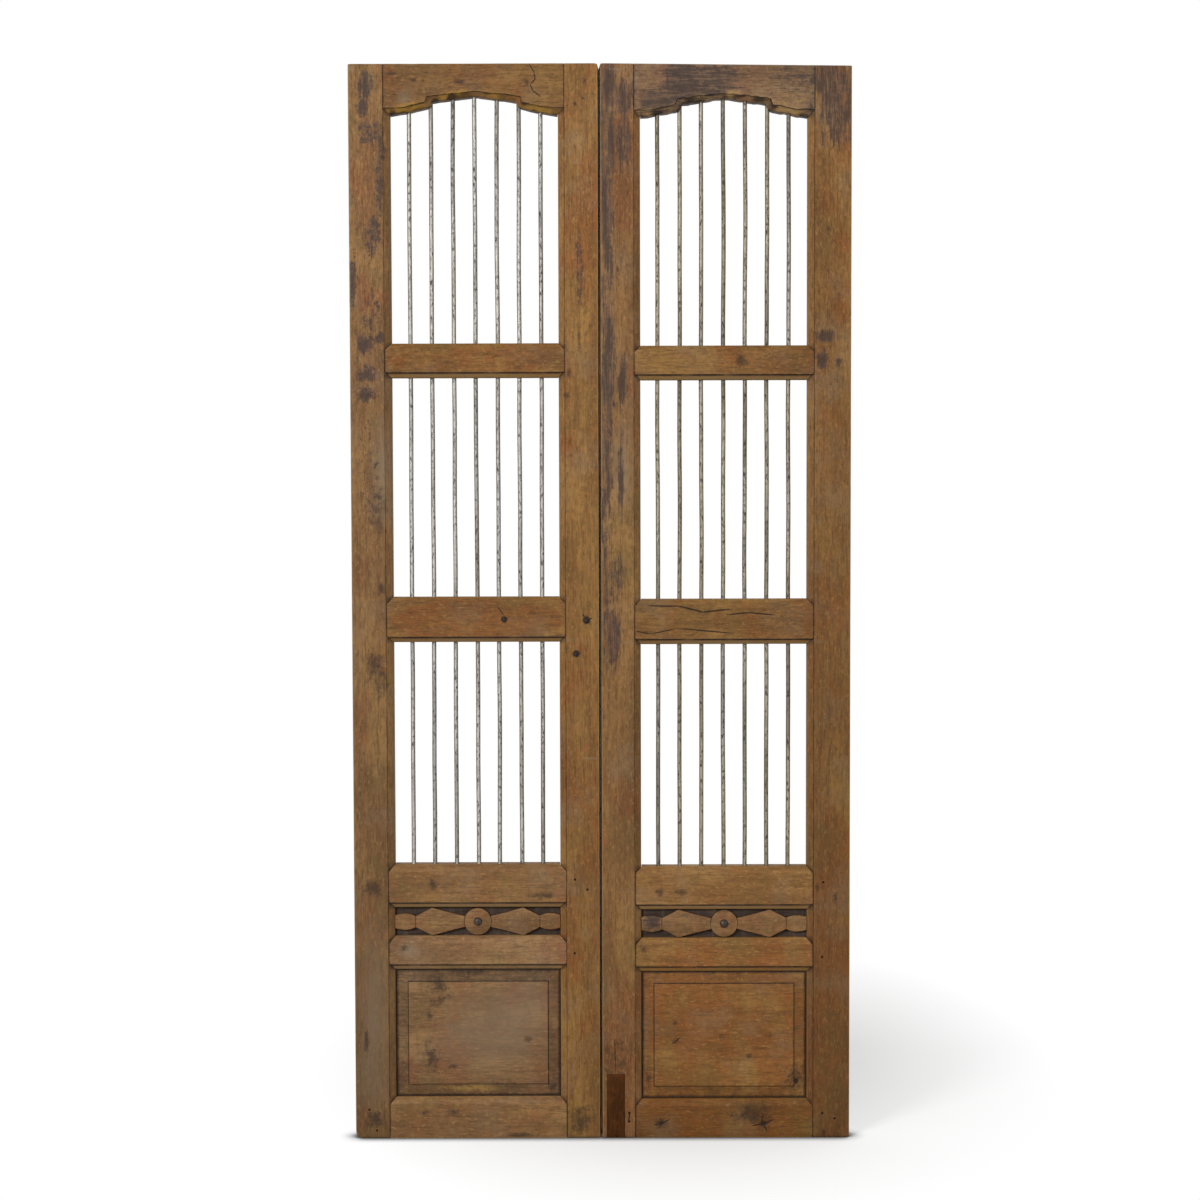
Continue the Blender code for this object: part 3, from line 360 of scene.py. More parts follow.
def weathered_teak(name, roundness, paint, stains, bleached_and_highlight, ochres, reds, splits):
    """Old teak with its marks; the roundness is how far its paint has flaked in blots instead of along the grain."""
    material, tree, shader = new_material(name)
    place = add(tree, "ShaderNodeTexCoord").outputs["Object"]
    along = add(tree, "ShaderNodeAttribute", attribute_name="grain").outputs["Vector"]
    wear, grime, tone, warmth = (
        add(tree, "ShaderNodeAttribute", attribute_name=label).outputs["Fac"]
        for label in ("wear", "grime", "tone", "warmth"))
    # Millimetres across, through and along the grain; the fibres are drawn two or three times too coarse to show.
    looks = {}
    for label, source, sizes, detail, roughness, distortion in (
        ("board", along, (55, 55, 300), 4, 0.6, 0.4),
        ("figure", along, (5, 5, 75), 5, 0.65, 0.6),
        ("fibre", along, (2.6, 2.6, 28), 3, 0.65, 0),
        ("fleck", along, (4.5, 4.5, 11), 5, 0.75, 0.4),
        ("streak", along, (5, 5, 60), 8, 0.8, 0.5),
        ("ragged", place, (15, 15, 15), 6, 0.7, 0.3),
        ("mottle", place, (9, 9, 11), 7, 0.78, 0.3),
        ("warm", place, (50, 50, 110), 4, 0.6, 0),
        ("cloud", place, (80, 80, 80), 4, 0.55, 0),
    ):
        scaled = add(tree, "ShaderNodeMapping", {"Vector": source, "Scale": per_mm(*sizes)})
        looks[label] = add(tree, "ShaderNodeTexNoise", {
            "Vector": scaled, "Scale": 1, "Detail": detail, "Roughness": roughness,
            "Distortion": distortion}).outputs["Fac"]
    looks["flake"] = add(tree, "ShaderNodeMix", {0: roundness, 2: looks["streak"], 3: looks["mottle"]})
    painted = spots(tree, place, paint, PAINT_REACH)
    # The upper half has weathered more, so dark flecks are thicker there.
    upwards = add(tree, "ShaderNodeSeparateXYZ", {0: place}).outputs["Z"]
    weather = add(tree, "ShaderNodeMapRange", {"Value": upwards, "From Min": 0.3, "From Max": 1.5,
                                               "To Min": -0.04, "To Max": 0.03})
    # Each layer: what breaks it up and by how much, what places it, where it starts, where it is full, how strong
    # it is and its colour.
    colour = linear(TEAK_MID)
    masks = {}
    for label, breaker, share, where, start, full, strength, shade in (
        ("light", "board", 1, 0, 0.46, 0.62, 0.72, TEAK_LIGHT),
        ("red", "warm", 1, spots(tree, place, reds), 0.50, 0.66, 0.7, TEAK_RED),
        ("shade", "board", 1, 0, 0.47, 0.32, 0.38, TEAK_DEEP),
        ("deep", "figure", 1, 0, 0.48, 0.68, 0.52, TEAK_DEEP),
        ("fibre", "fibre", 1, 0, 0.50, 0.66, 0.52, TEAK_DEEP),
        ("grey", "cloud", 1, 0, 0.52, 0.70, 0.35, TEAK_GREY),
        ("olive", "cloud", 1, 0, 0.47, 0.35, 0.4, TEAK_OLIVE),
        ("mottle", "mottle", 1, 0, 0.50, 0.66, 0.6, TEAK_DEEP),
        ("pale", "fleck", 1, 0, 0.46, 0.34, 0.7, TEAK_LIGHT),
        ("bleached_and_highlight", "flake", 2.0, spots(tree, place, bleached_and_highlight), 1.15, 2.0, 0.8, TEAK_GREY),
        ("ochre", "mottle", 2.4, spots(tree, place, ochres), 1.4, 1.8, 0.8, OCHRE),
        ("stain", "mottle", 2.2, spots(tree, place, stains), 1.3, 1.9, 0.75, STAIN),
        ("fleck", "fleck", 1, weather, 0.60, 0.70, 0.6, STAIN),
        ("film", "flake", 3.0, painted, 1.82, 2.04, 0.74, PAINT_FILM),
        ("paint", "flake", 5.0, painted, 2.9, 3.3, 0.66, OLD_PAINT),
        # The bare layer also paints the highlight on the rails' lower mouldings; the dirt layer also paints shade.
        ("bare_and_highlight", "fleck", 0.8, wear, 0.75, 1.4, 0.5, TEAK_BARE_AND_HIGHLIGHT),
        ("dirt_and_shade", "ragged", 0.9, grime, 0.72, 1.35, 0.9, DIRT_AND_SHADE),
        ("split", "ragged", 0.1, spots(tree, place, splits), 0.2, 0.45, 0.95, DIRT_AND_SHADE),
    ):
        level = add(tree, "ShaderNodeMath", {0: looks[breaker], 1: share, 2: where}, operation="MULTIPLY_ADD")
        masks[label] = add(tree, "ShaderNodeMapRange", {
            "Value": level, "From Min": start, "From Max": full, "To Max": strength})
        colour = add(tree, "ShaderNodeMix", {0: masks[label], 6: colour, 7: linear(shade)},
                     data_type="RGBA").outputs[2]
    value = add(tree, "ShaderNodeMath", {0: tone, 1: 1.0}, operation="ADD")
    richness = add(tree, "ShaderNodeMath", {0: warmth, 1: 1.0}, operation="ADD")
    toned = add(tree, "ShaderNodeHueSaturation", {"Saturation": richness, "Value": value, "Color": colour})
    rough = add(tree, "ShaderNodeMapRange", {"Value": looks["fleck"], "From Min": 0.3, "From Max": 0.7,
                                             "To Min": 0.52, "To Max": 0.74})
    height = 0.0
    for source, share in ((looks["figure"], -0.35), (masks["fibre"], -0.3), (masks["film"], 0.35),
                          (masks["fleck"], -0.35), (masks["split"], -1.6)):
        height = add(tree, "ShaderNodeMath", {0: source, 1: share, 2: height}, operation="MULTIPLY_ADD")
    bump = add(tree, "ShaderNodeBump", {"Strength": 0.55, "Distance": 0.0012, "Height": height})
    give(tree, shader, {"Base Color": toned, "Specular IOR Level": TEAK_GLOSS, "Roughness": rough, "Normal": bump})
    return material


# Marks on the front, in millimetres from the middle of the pair and from the floor: middle, width, height, turn in
# degrees and most.
left_teak = weathered_teak(
    "weathered_teak_left", 0.62,
    paint=[
        (-428, 1948, 26, 46), (-434, 1908, 18, 42), (-424, 1865, 38, 42, 0, 0.5), (-404, 1767, 12, 115, 0, 0.6),
        (-417, 1674, 25, 58, 0, 0.55), (-419, 1535, 26, 60, 0, 0.35), (-432, 1478, 32, 36), (-405, 1488, 15, 20),
        (-431, 1422, 32, 24), (-433, 1384, 30, 24), (-455, 1590, 14, 80), (-38, 1610, 10, 100, 0, 0.5),
        (-400, 1830, 10, 70, 0, 0.5), (-425, 1245, 30, 120, 0, 0.24),
    ],
    stains=[
        (-380, 1968, 28, 8), (-340, 1957, 14, 8), (-317, 1970, 16, 6), (-258, 1953, 28, 9), (-133, 1953, 15, 17),
        (-28, 1955, 8, 8), (-31, 1922, 9, 8), (-46, 1913, 9, 8), (-58, 1423, 14, 26), (-62, 1383, 17, 18),
        (-39, 1484, 8, 50), (-405, 1027, 20, 30), (-421, 887, 42, 64), (-412, 1170, 34, 110, 0, 0.5),
        (-408, 858, 30, 70, 0, 0.6), (-314, 476, 24, 28), (-105, 457, 66, 14), (-426, 470, 38, 46),
        (-368, 358, 19, 17), (-321, 232, 20, 26, 20), (-319, 151, 37, 60, 12), (-279, 133, 26, 13),
        (-139, 185, 19, 17), (-302, 259, 50, 21, 20), (-245, 314, 130, 24, 0, 0.75), (-150, 316, 130, 18, 0, 0.6),
        (-306, 288, 44, 56, 0, 0.7), (-181, 93, 92, 28), (-92, 96, 22, 50, 0, 0.7), (-330, 49, 20, 16),
        (-278, 49, 25, 16), (-152, 5, 64, 14), (-425, 35, 44, 40), (-39, 32, 50, 60), (-439, 185, 12, 60),
        (-179, 970, 17, 17), (-27, 968, 19, 19), (-46, 906, 18, 18),
    ],
    bleached_and_highlight=[
        (-357, 1923, 32, 32), (-360, 352, 52, 40), (-190, 212, 250, 190, 35), (-22, 712, 36, 5),
        (-45, 1806, 30, 5), (-453, 1977, 14, 14), (-400, 1250, 60, 240), (-425, 230, 70, 420),
        # The marks on the next line are painted highlights along the rails' lower mouldings, which face down into
        # shade.
        (-229, 1419, 420, 16), (-229, 932, 420, 16), (-229, 438, 420, 14),
    ],
    ochres=[
        (-352, 1906, 80, 22, 12), (-268, 1928, 76, 20, 12), (-192, 1926, 60, 16, -14, 0.6),
        (-110, 1900, 70, 22, -11), (-231, 92, 180, 18),
    ],
    reds=[
        (-434, 1570, 26, 70, 0, 0.4), (-25, 1690, 30, 260, 0, 0.12), (-229, 968, 280, 64, 0, 0.24),
        (-229, 1446, 280, 40, 0, 0.12),
    ],
    splits=[
        (-124, 1977, 18, 2.2, -57), (-119, 1963, 16, 2.2, -80), (-122, 1953, 16, 2.2, 50),
        (-124, 1941, 16, 2.2, -67), (-115, 1931, 19, 2.2, -39), (-185, 985, 20, 2, -55), (-27, 968, 15, 16),
        (-32, 976, 11, 2.6, -58), (-20, 971, 9, 2.4, 20), (-46, 906, 13, 14), (-179, 970, 12, 12),
    ],
)
right_teak = weathered_teak(
    "weathered_teak_right", 0.3,
    paint=[
        (14, 1942, 27, 96), (20, 1848, 14, 104), (9, 1711, 17, 145), (43, 1923, 34, 62),
        (42, 1850, 26, 90, 0, 0.5), (9, 1560, 22, 1100, 0, 0.46), (154, 1946, 74, 76, 0, 0.7),
        (198, 1952, 90, 54, 0, 0.55), (228, 1957, 44, 44, 0, 0.5), (106, 1914, 58, 40, 0, 0.6),
        (358, 1957, 66, 40, 0, 0.38), (436, 1915, 60, 140, 0, 0.62), (412, 1958, 54, 60, 0, 0.58),
        (13, 1444, 24, 230, 0, 0.78), (37, 1230, 12, 120), (40, 1407, 16, 90), (24, 1047, 30, 74, 0, 0.5),
        (23, 933, 25, 88, 0, 0.6), (413, 1489, 34, 20), (407, 1446, 18, 30), (436, 1442, 9, 18),
        (11, 1240, 18, 130, 0, 0.6), (92, 406, 26, 26, 0, 0.7),
    ],
    stains=[
        (123, 1958, 8, 50), (258, 1446, 38, 38), (147, 462, 24, 17), (108, 462, 24, 19), (400, 470, 10, 32),
        (434, 451, 9, 25), (78, 356, 20, 19), (135, 215, 12, 14), (138, 181, 18, 18), (223, 188, 13, 17, 0, 0.5),
        (274, 153, 13, 15, 0, 0.5), (311, 192, 10, 12, 0, 0.5), (362, 108, 54, 72), (87, 105, 21, 56),
        (299, 26, 36, 28), (282, 44, 96, 48, 0, 0.9), (110, 29, 28, 26), (28, 147, 60, 100, 0, 0.4),
        (413, 7, 11, 23), (94, 404, 37, 40), (387, 1903, 16, 24),
    ],
    bleached_and_highlight=[
        (451, 1979, 18, 12), (2, 1819, 6, 330), (5, 1940, 8, 80), (26, 1975, 40, 8), (60, 1958, 22, 30, 0, 0.6),
        (20, 1460, 8, 82), (40, 1250, 50, 200), (12, 1500, 30, 900, 0, 0.4), (428, 1910, 74, 120, 0, 0.45),
        # The marks on the next line are painted highlights along the rails' lower mouldings, which face down into
        # shade.
        (228, 1414, 420, 16), (228, 927, 420, 16), (228, 433, 420, 14),
    ],
    ochres=[
        (90, 1961, 52, 44, 0, 0.2), (352, 1921, 48, 30, 0, 0.3), (398, 1940, 8, 86, 0, 0.3),
        (108, 1901, 74, 26, 11), (180, 1921, 72, 26, 13), (242, 1929, 42, 24), (300, 1915, 60, 24, -12, 0.8),
        (345, 1899, 66, 24, -12),
    ],
    reds=[
        (28, 155, 84, 120, 0, 0.3), (228, 190, 380, 300, 0, 0.15), (228, 38, 420, 110, 0, 0.16),
        (430, 260, 90, 620, 0, 0.14), (42, 1790, 44, 190, 0, 0.4), (86, 200, 20, 240, 0, 0.16),
        (440, 1600, 30, 160, 0, 0.12),
    ],
    splits=[
        (118, 994, 70, 3, -1), (166, 988, 60, 3.4, -14), (211, 985, 66, 3.2, 6), (258, 980, 54, 2.8, 5),
        (297, 979, 54, 2.8, -5), (78, 945, 30, 2.4, -11), (114, 947, 48, 2.4, 12), (191, 948, 112, 2.4, -5),
        (24, 153, 66, 1.8, -89), (138, 181, 24, 2.4, 40), (50, 39, 24, 3, 80), (300, 26, 12, 9),
        (290, 24, 26, 2.4, 10), (311, 30, 24, 2.4, 24), (298, 35, 20, 2.2, 75), (304, 18, 16, 2.2, -60),
        (110, 27, 9, 7), (119, 31, 20, 2.2, 30), (103, 25, 16, 2.2, 8), (362, 104, 10, 14),
    ],
)
TEAK = {"left": left_teak, "right": right_teak}
# For each stile: tone at the floor and at the head, warmth, and the radius its head and its foot are rubbed to
STILE_LOOKS = {
    "left_hinge": ((-0.27, 0.05), 0.0, 0.003, 0.014),
    "left_meeting": ((-0.09, 0.12), 0.06, 0.005, 0.0006),
    "right_hinge": ((-0.31, 0.03), 0.06, 0.002, 0.006),
    "right_meeting": ((-0.03, 0.03), 0.02, 0.004, 0.0006),
}
for seed, (leaf, kind) in enumerate((l, k) for l in LEAVES for k in ("hinge", "meeting")):
    node = f"{leaf}_{kind}_stile"
    tones, warmth, head_rub, foot_rub = STILE_LOOKS[f"{leaf}_{kind}"]
    outward = -1 if (leaf == "left") == (kind == "hinge") else 1
    side = 0 if outward < 0 else 1
    opening = OPENINGS[leaf][side]
    bevel = 0 if kind == "hinge" else BEVEL
    width = abs(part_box(node)[side][0] - opening) - bevel
    bevel += 0 if kind == "hinge" else MEETING_SWELL
    seats = []
    if kind == "hinge":
        flaps = [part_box(f"{leaf}_{height}_hinge_leaf_flap") for height in ("bottom", "middle", "top")]
        seats = [(low[2] - SEAT_PLAY, high[2] + SEAT_PLAY) for low, high in flaps]
    rings = []
    for z, slope, notched, seated, joint in stile_stations([rail_span(leaf, r) for r in RAILS], seats):
        ring = []
        for inward, depth, wear, grime in stile_section(width, bevel, rubbed(z, seed), notched, seated):
            height = z + slope * min(inward, MOULD_WIDTH)
            if depth == 0:
                depth = FACE_WAVE + FACE_WAVE * noise.noise((inward * 30, height * 6, seed))
            grime *= 1 + SHADE_AND_DIRT_CHANGE * noise.noise((inward * 9, height * 28, seed + 30))
            # Dirt and painted shade in the mitres at a joint and in the gap between the leaves
            if inward < MOULD_WIDTH and depth < NOTCH_FLOOR:
                grime = max(grime, JOINT_SHADE_AND_DIRT * joint)
            if kind == "meeting" and inward >= width and SEAM_FRONT < depth < THICKNESS - SLIVER:
                grime = SEAM_SHADE
            for radius, level, turn in ((head_rub, HEIGHT, 1), (foot_rub, 0, -1)):
                past, rise = inward - (width - radius), turn * (height - level) + radius
                if past > 0 and rise > 0 and hypot(past, rise) > radius:
                    pull = radius / hypot(past, rise)
                    inward, height = width - radius + past * pull, level + turn * (rise * pull - radius)
            depth = max(depth, END_EASE - min(height, HEIGHT - height))
            x = opening + outward * inward
            height -= head_fall(leaf, x) * max(0, 1 - (HEIGHT - height) / TOP_LEAN_DEPTH)
            ring.append((x, FACE + depth, height, wear, grime))
        rings.append(ring)
    piece = board_from_rings(f"{node}_board", rings, "z", 1.7 * seed + 0.4, tones, warmth)
    piece.data.materials.append(TEAK[leaf])
    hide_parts(node)
    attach(piece, f"{leaf}_leaf")


# Rails
# Six teak rails to a leaf, tenoned right through the stiles. Their front laps the stiles' moulding in ears that are
# cut to a mitre, so a dark joint line runs round each rail's end. The top rail's lower edge is sawn to a cusped arch.
EAR_BACK = 0.0083
JOINT = 0.0008
LOWER_MOULD = 0.76              # the lower moulding is this much of the stiles' in width,
LOWER_WEAR_AND_HIGHLIGHT = (1, 1, 0.9, 0.6)    # worn bare below its quirk and given a painted highlight there, as it faces down into shade,
QUIRK_SHADE_AND_DIRT = 0.95               # and darkened in the quirk with dirt and painted shade
IN_QUIRK_LEVEL = 0.4                     # points of a section with this much dirt and painted shade lie in the quirk
TENON_DEPTHS = (0.012, 0.024)
TENON_SETDOWN = 0.014
TENON_COVER = 0.020             # wood over the tenon at the head and the foot of a leaf
TENON_PROUD = 0.0003
TENON_EASE = 0.0006
TENON_SEEN = 0.006              # only the end of a tenon is drawn, this much of it
TENON_TONE = -0.12
SHOULDER_LENGTH = 0.074
SHOULDER_RISE = 0.0145
SHOULDER_CURVE = 1.3
CUSP_WIDTH = 0.003
CUSP_RISE = 0.0095
CUSP_SPREAD = 0.8
CROWN_RISE = 0.0095
CROWN_CURVE = 1.15
ARCH_NARROWING = 0.3            # the moulding round the arch is narrower than at its ends by this share
ARCH_RUN_IN = 0.03
ARCH_NICKS = {"left": 0.001, "right": 0.002}
# The moulding under the arch faces down; it is darkened in blotches with dirt and painted shade.
ARCH_SHADE_AND_DIRT = {"left": 0.3, "right": 0.42}
ARCH_BLOTCHES = 1.2
RAIL_START = 0.004              # from the shoulder to a rail's first ring
ARCH_STEP = 0.005               # between rings along the arch,
CUSP_STEP = 0.001               # which lie closer together round a cusp,
CUSP_RINGS = range(-6, 16)      # for so many steps before its foot and past it
HALF_OPENING = (OPENINGS["left"][1] - OPENINGS["left"][0]) / 2
ARCH_FOOT = HALF_OPENING - SHOULDER_LENGTH      # from the middle of the opening to the cusp
RAIL_LOOKS = {                  # tone and warmth
    "left": {"top": (-0.18, 0.05), "upper": (-0.07, 0.08), "middle": (-0.11, 0.06), "lock": (0.06, 0.0),
             "frieze": (0.12, -0.06), "bottom": (0.07, -0.01)},
    "right": {"top": (-0.10, -0.12), "upper": (-0.05, 0.06), "middle": (-0.07, 0.06), "lock": (0.15, 0.04),
              "frieze": (0.17, 0.05), "bottom": (-0.19, 0.09)},
}


def rail_section(height, moulded_below, moulded_above, rub):
    """Section of a rail, all the way round: height, depth, wear and painted highlight, dirt and painted shade, and
    how far in its mitre reaches there.
    """
    below = edge_section(moulded_below, rub)
    above = edge_section(moulded_above, rub, crisp=False)
    if moulded_below and moulded_above:
        for point in below:
            point[0] *= LOWER_MOULD
            if point[3] >= IN_QUIRK_LEVEL:
                point[3] = QUIRK_SHADE_AND_DIRT
        for point, wear in zip(below[1:], LOWER_WEAR_AND_HIGHLIGHT):
            point[2:] = wear, 0
    section = [[BACK_RUB, THICKNESS, 0.3, 0], [0, THICKNESS - BACK_RUB, 0.4, 0], *below]
    section += face_section(below[-1][0] + 0.004, height - above[-1][0] - 0.004)
    section += [[height - inward, *rest] for inward, *rest in reversed(above)]
    section += [[height, THICKNESS - BACK_RUB, 0.4, 0], [height - BACK_RUB, THICKNESS, 0.3, 0]]
    for point in section:
        reach = [MOULD_WIDTH]
        if moulded_below:
            reach.append(point[0])
        if moulded_above:
            reach.append(height - point[0])
        point.append(min(reach))
    return section


def rail_end(edge, outward, section):
    """Rings from the tip of a rail's ear to its shoulder: x, depth, height, wear and painted highlight, dirt and
    painted shade for each point.
    """
    rings = []
    root = edge - outward * JOINT
    # At the joint, the ear's tip is darkened with dirt and painted shade.
    for share, dirt_and_shade in ((0, 0.9), (0.08, 0.5), (0.3, 0.05), (1, 0)):
        ring = []
        for height, depth, wear, grime, reach in section:
            tip = edge + outward * (reach - JOINT)
            ring.append((tip + (root - tip) * share, min(depth, EAR_BACK), height, wear * (1 - dirt_and_shade),
                         max(grime, dirt_and_shade)))
        rings.append(ring)
    rings.append([(root - outward * SLIVER, depth, height, wear, grime)
                  for height, depth, wear, grime, _ in section])
    return rings


def arch_rise(distance):
    """How far the arch has risen at a distance from the middle of the opening."""
    head = ARCH_FOOT - CUSP_WIDTH
    if distance >= ARCH_FOOT:
        return SHOULDER_RISE * max(0, (HALF_OPENING - distance) / SHOULDER_LENGTH) ** SHOULDER_CURVE
    if distance >= head:
        return SHOULDER_RISE + CUSP_RISE * (ARCH_FOOT - distance) / CUSP_WIDTH
    return SHOULDER_RISE + CUSP_RISE + CROWN_RISE * (1 - (max(0, distance) / head) ** CROWN_CURVE)


def arch_spread(distance):
    """How far the moulding's upper line is carried outwards there."""
    if distance >= ARCH_FOOT:
        end = HALF_OPENING + MOULD_WIDTH
        return CUSP_SPREAD * MOULD_WIDTH * max(0, end - distance) / (end - ARCH_FOOT)
    return CUSP_SPREAD * MOULD_WIDTH * distance / ARCH_FOOT


for seed, (leaf, rail) in enumerate((l, r) for l in LEAVES for r in RAILS):
    node = f"{leaf}_{rail}_rail"
    low, high = rail_span(leaf, rail)
    near, far = OPENINGS[leaf]
    middle, half = (near + far) / 2, (far - near) / 2
    stops = spaced(near + RAIL_START, far - RAIL_START)
    if rail == "top":
        close = [half - SHOULDER_LENGTH + CUSP_STEP * i for i in CUSP_RINGS]
        coarse = [d for d in spaced(0, half - RAIL_START, ARCH_STEP)
                  if d < close[0] - 2 * CUSP_STEP or d > close[-1] + 2 * CUSP_STEP]
        stops = sorted({middle + way * d for d in close + coarse for way in (-1, 1)})
    rings = []
    for x in (None, *stops, None):
        rub = rubbed(near if x is None else x, seed + 20.5)
        section = rail_section(high - low, rail != "bottom", rail != "top", rub)
        if x is not None:
            group = [[(x, depth, height, wear, grime) for height, depth, wear, grime, _ in section]]
        elif rings:
            group = rail_end(far, 1, section)[::-1]
        else:
            group = rail_end(near, -1, section)
        for ring in group:
            shaped = []
            for px, depth, height, wear, grime in ring:
                if depth == 0:
                    depth = FACE_WAVE + FACE_WAVE * noise.noise((px * 6, height * 30, seed + 40))
                grime *= 1 + SHADE_AND_DIRT_CHANGE * noise.noise((px * 28, height * 9, seed + 60))
                z = low + height
                if rail == "top":
                    distance, other = abs(px - middle), leaf == "right"
                    share = min(height, MOULD_WIDTH) / MOULD_WIDTH
                    narrow = 1 - ARCH_NARROWING * min(1, max(0, half - distance) / ARCH_RUN_IN)
                    lifted = arch_rise(distance - arch_spread(distance) * share)
                    edge = low + lifted + share * MOULD_WIDTH * narrow
                    if distance < half:
                        nick = noise.noise((px * 55, other, 3.5)) + 0.6 * noise.noise((px * 130, 0.5, 8.5))
                        line = noise.noise((px * 80, other, 12.5)) + 0.6 * noise.noise((px * 190, 0.5, 17.5))
                        edge += ARCH_NICKS[leaf] * (nick + (line - nick) * share)
                        # Dirt and painted shade in blotches on the moulding under the arch
                        if height <= MOULD_WIDTH and depth > 0.0003:
                            blotch = noise.noise((px * 60, height * 90, 5.5 + other))
                            grime = max(grime, ARCH_SHADE_AND_DIRT[leaf] + ARCH_BLOTCHES * blotch)
                    climb = max(0, height - MOULD_WIDTH) / (high - low - MOULD_WIDTH)
                    z = edge + (high - head_fall(leaf, px) - edge) * climb
                shaped.append((px, FACE + depth, z, wear, grime))
            rings.append(shaped)
    tone, warmth = RAIL_LOOKS[leaf][rail]
    piece = board_from_rings(f"{node}_board", rings, "x", 1.3 * seed + 9.1, (tone, tone), warmth)
    piece.data.materials.append(TEAK[leaf])
    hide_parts(node)
    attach(piece, f"{leaf}_leaf")
    tenon_low = low + (TENON_COVER if rail == "bottom" else TENON_SETDOWN)
    tenon_high = high - (TENON_COVER if rail == "top" else TENON_SETDOWN)
    for kind, side in (("hinge", 0 if leaf == "left" else 1), ("meeting", 1 if leaf == "left" else 0)):
        outward = 1 if side else -1
        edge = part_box(f"{leaf}_{kind}_stile")[side][0]
        slant = 0 if kind == "hinge" else BEVEL * (1 - TENON_DEPTHS[0] / THICKNESS)
        tip = edge - outward * slant + outward * TENON_PROUD
        rings = []
        for reach, inset, grime in ((TENON_SEEN, 0, 1), (SLIVER * 4, 0, 0.9), (0, TENON_EASE, 0.3)):
            x = tip - outward * reach
            y0, y1 = FACE + TENON_DEPTHS[0] + inset, FACE + TENON_DEPTHS[1] - inset
            z0, z1 = tenon_low + inset, tenon_high - inset
            rings.append([(x, y, z, 0, grime) for y, z in ((y0, z0), (y1, z0), (y1, z1), (y0, z1))])
        end_tone = tone + TENON_TONE
        tenon = board_from_rings(f"{node}_{kind}_tenon_end", rings, "x", seed + 31.7, (end_tone, end_tone), warmth)
        tenon.data.materials.append(TEAK[leaf])
        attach(tenon, f"{leaf}_leaf")


# Raised panels
# One teak board to a leaf, let into grooves without glue. Its middle is a raised field with a sharp step round it,
# and the sloping margins still show the rough strokes of the plane.
PANEL_TONGUE_FRONT = 0.013
PANEL_TONGUE = 0.008
PANEL_MARGIN = 0.024
PANEL_MARGIN_RISE = 0.0035
PANEL_FIELD_STEP = 0.0025
PANEL_GROOVE = 0.0072
FIELD_WALL = 0.0005             # the step is this wide,
FIELD_ARRIS = 0.0015            # and its worn arris ends here
FIELD_WAVE = 0.0003
FIELD_SPACING = 0.005           # between grid lines on the field
STEP_LINES = (-0.0009, 0, FIELD_WALL, FIELD_ARRIS, 0.004)
MARGIN_LINES = (0, 0.001, 0.003, 0.007, 0.011, 0.015, 0.019, 0.022)
STROKE_DEPTH = 0.0005
PANEL_TONES = {"left": -0.04, "right": 0.07}
PANEL_WARMTHS = {"left": -0.05, "right": 0.06}
MARGIN_TONE = -0.1
BACK_GRIME = 0.1
# Dirt and painted shade darken the crease at the foot of the field's step and the corners where the margin meets the
# frame.
STEP_SHADE_AND_DIRT = 1.3                # at the foot of the field's step
CORNER_SHADE_AND_DIRT = 1.35             # where the margin meets the frame,
CORNER_WIDTH = 0.002            # this far out,
NEAR_SHADE_AND_DIRT = 0.85               # and beside either of them
# How much darker each side of each panel's margin is made
MARGIN_DARKENING = {"left": {"near": 0.42, "far": 0.38, "low": 0.15, "high": 0.5},
                "right": {"near": 0.25, "far": 0.2, "low": 0.4, "high": 0.25}}


def panel_lines(start, stop):
    """Grid lines across the panel, close together at its edge and at the step of the field."""
    edge = [-PANEL_GROOVE, *MARGIN_LINES, *(PANEL_MARGIN + past for past in STEP_LINES)]
    inner = spaced(start + edge[-1], stop - edge[-1], FIELD_SPACING)[1:-1]
    return [start + e for e in edge] + inner + [stop - e for e in reversed(edge)]


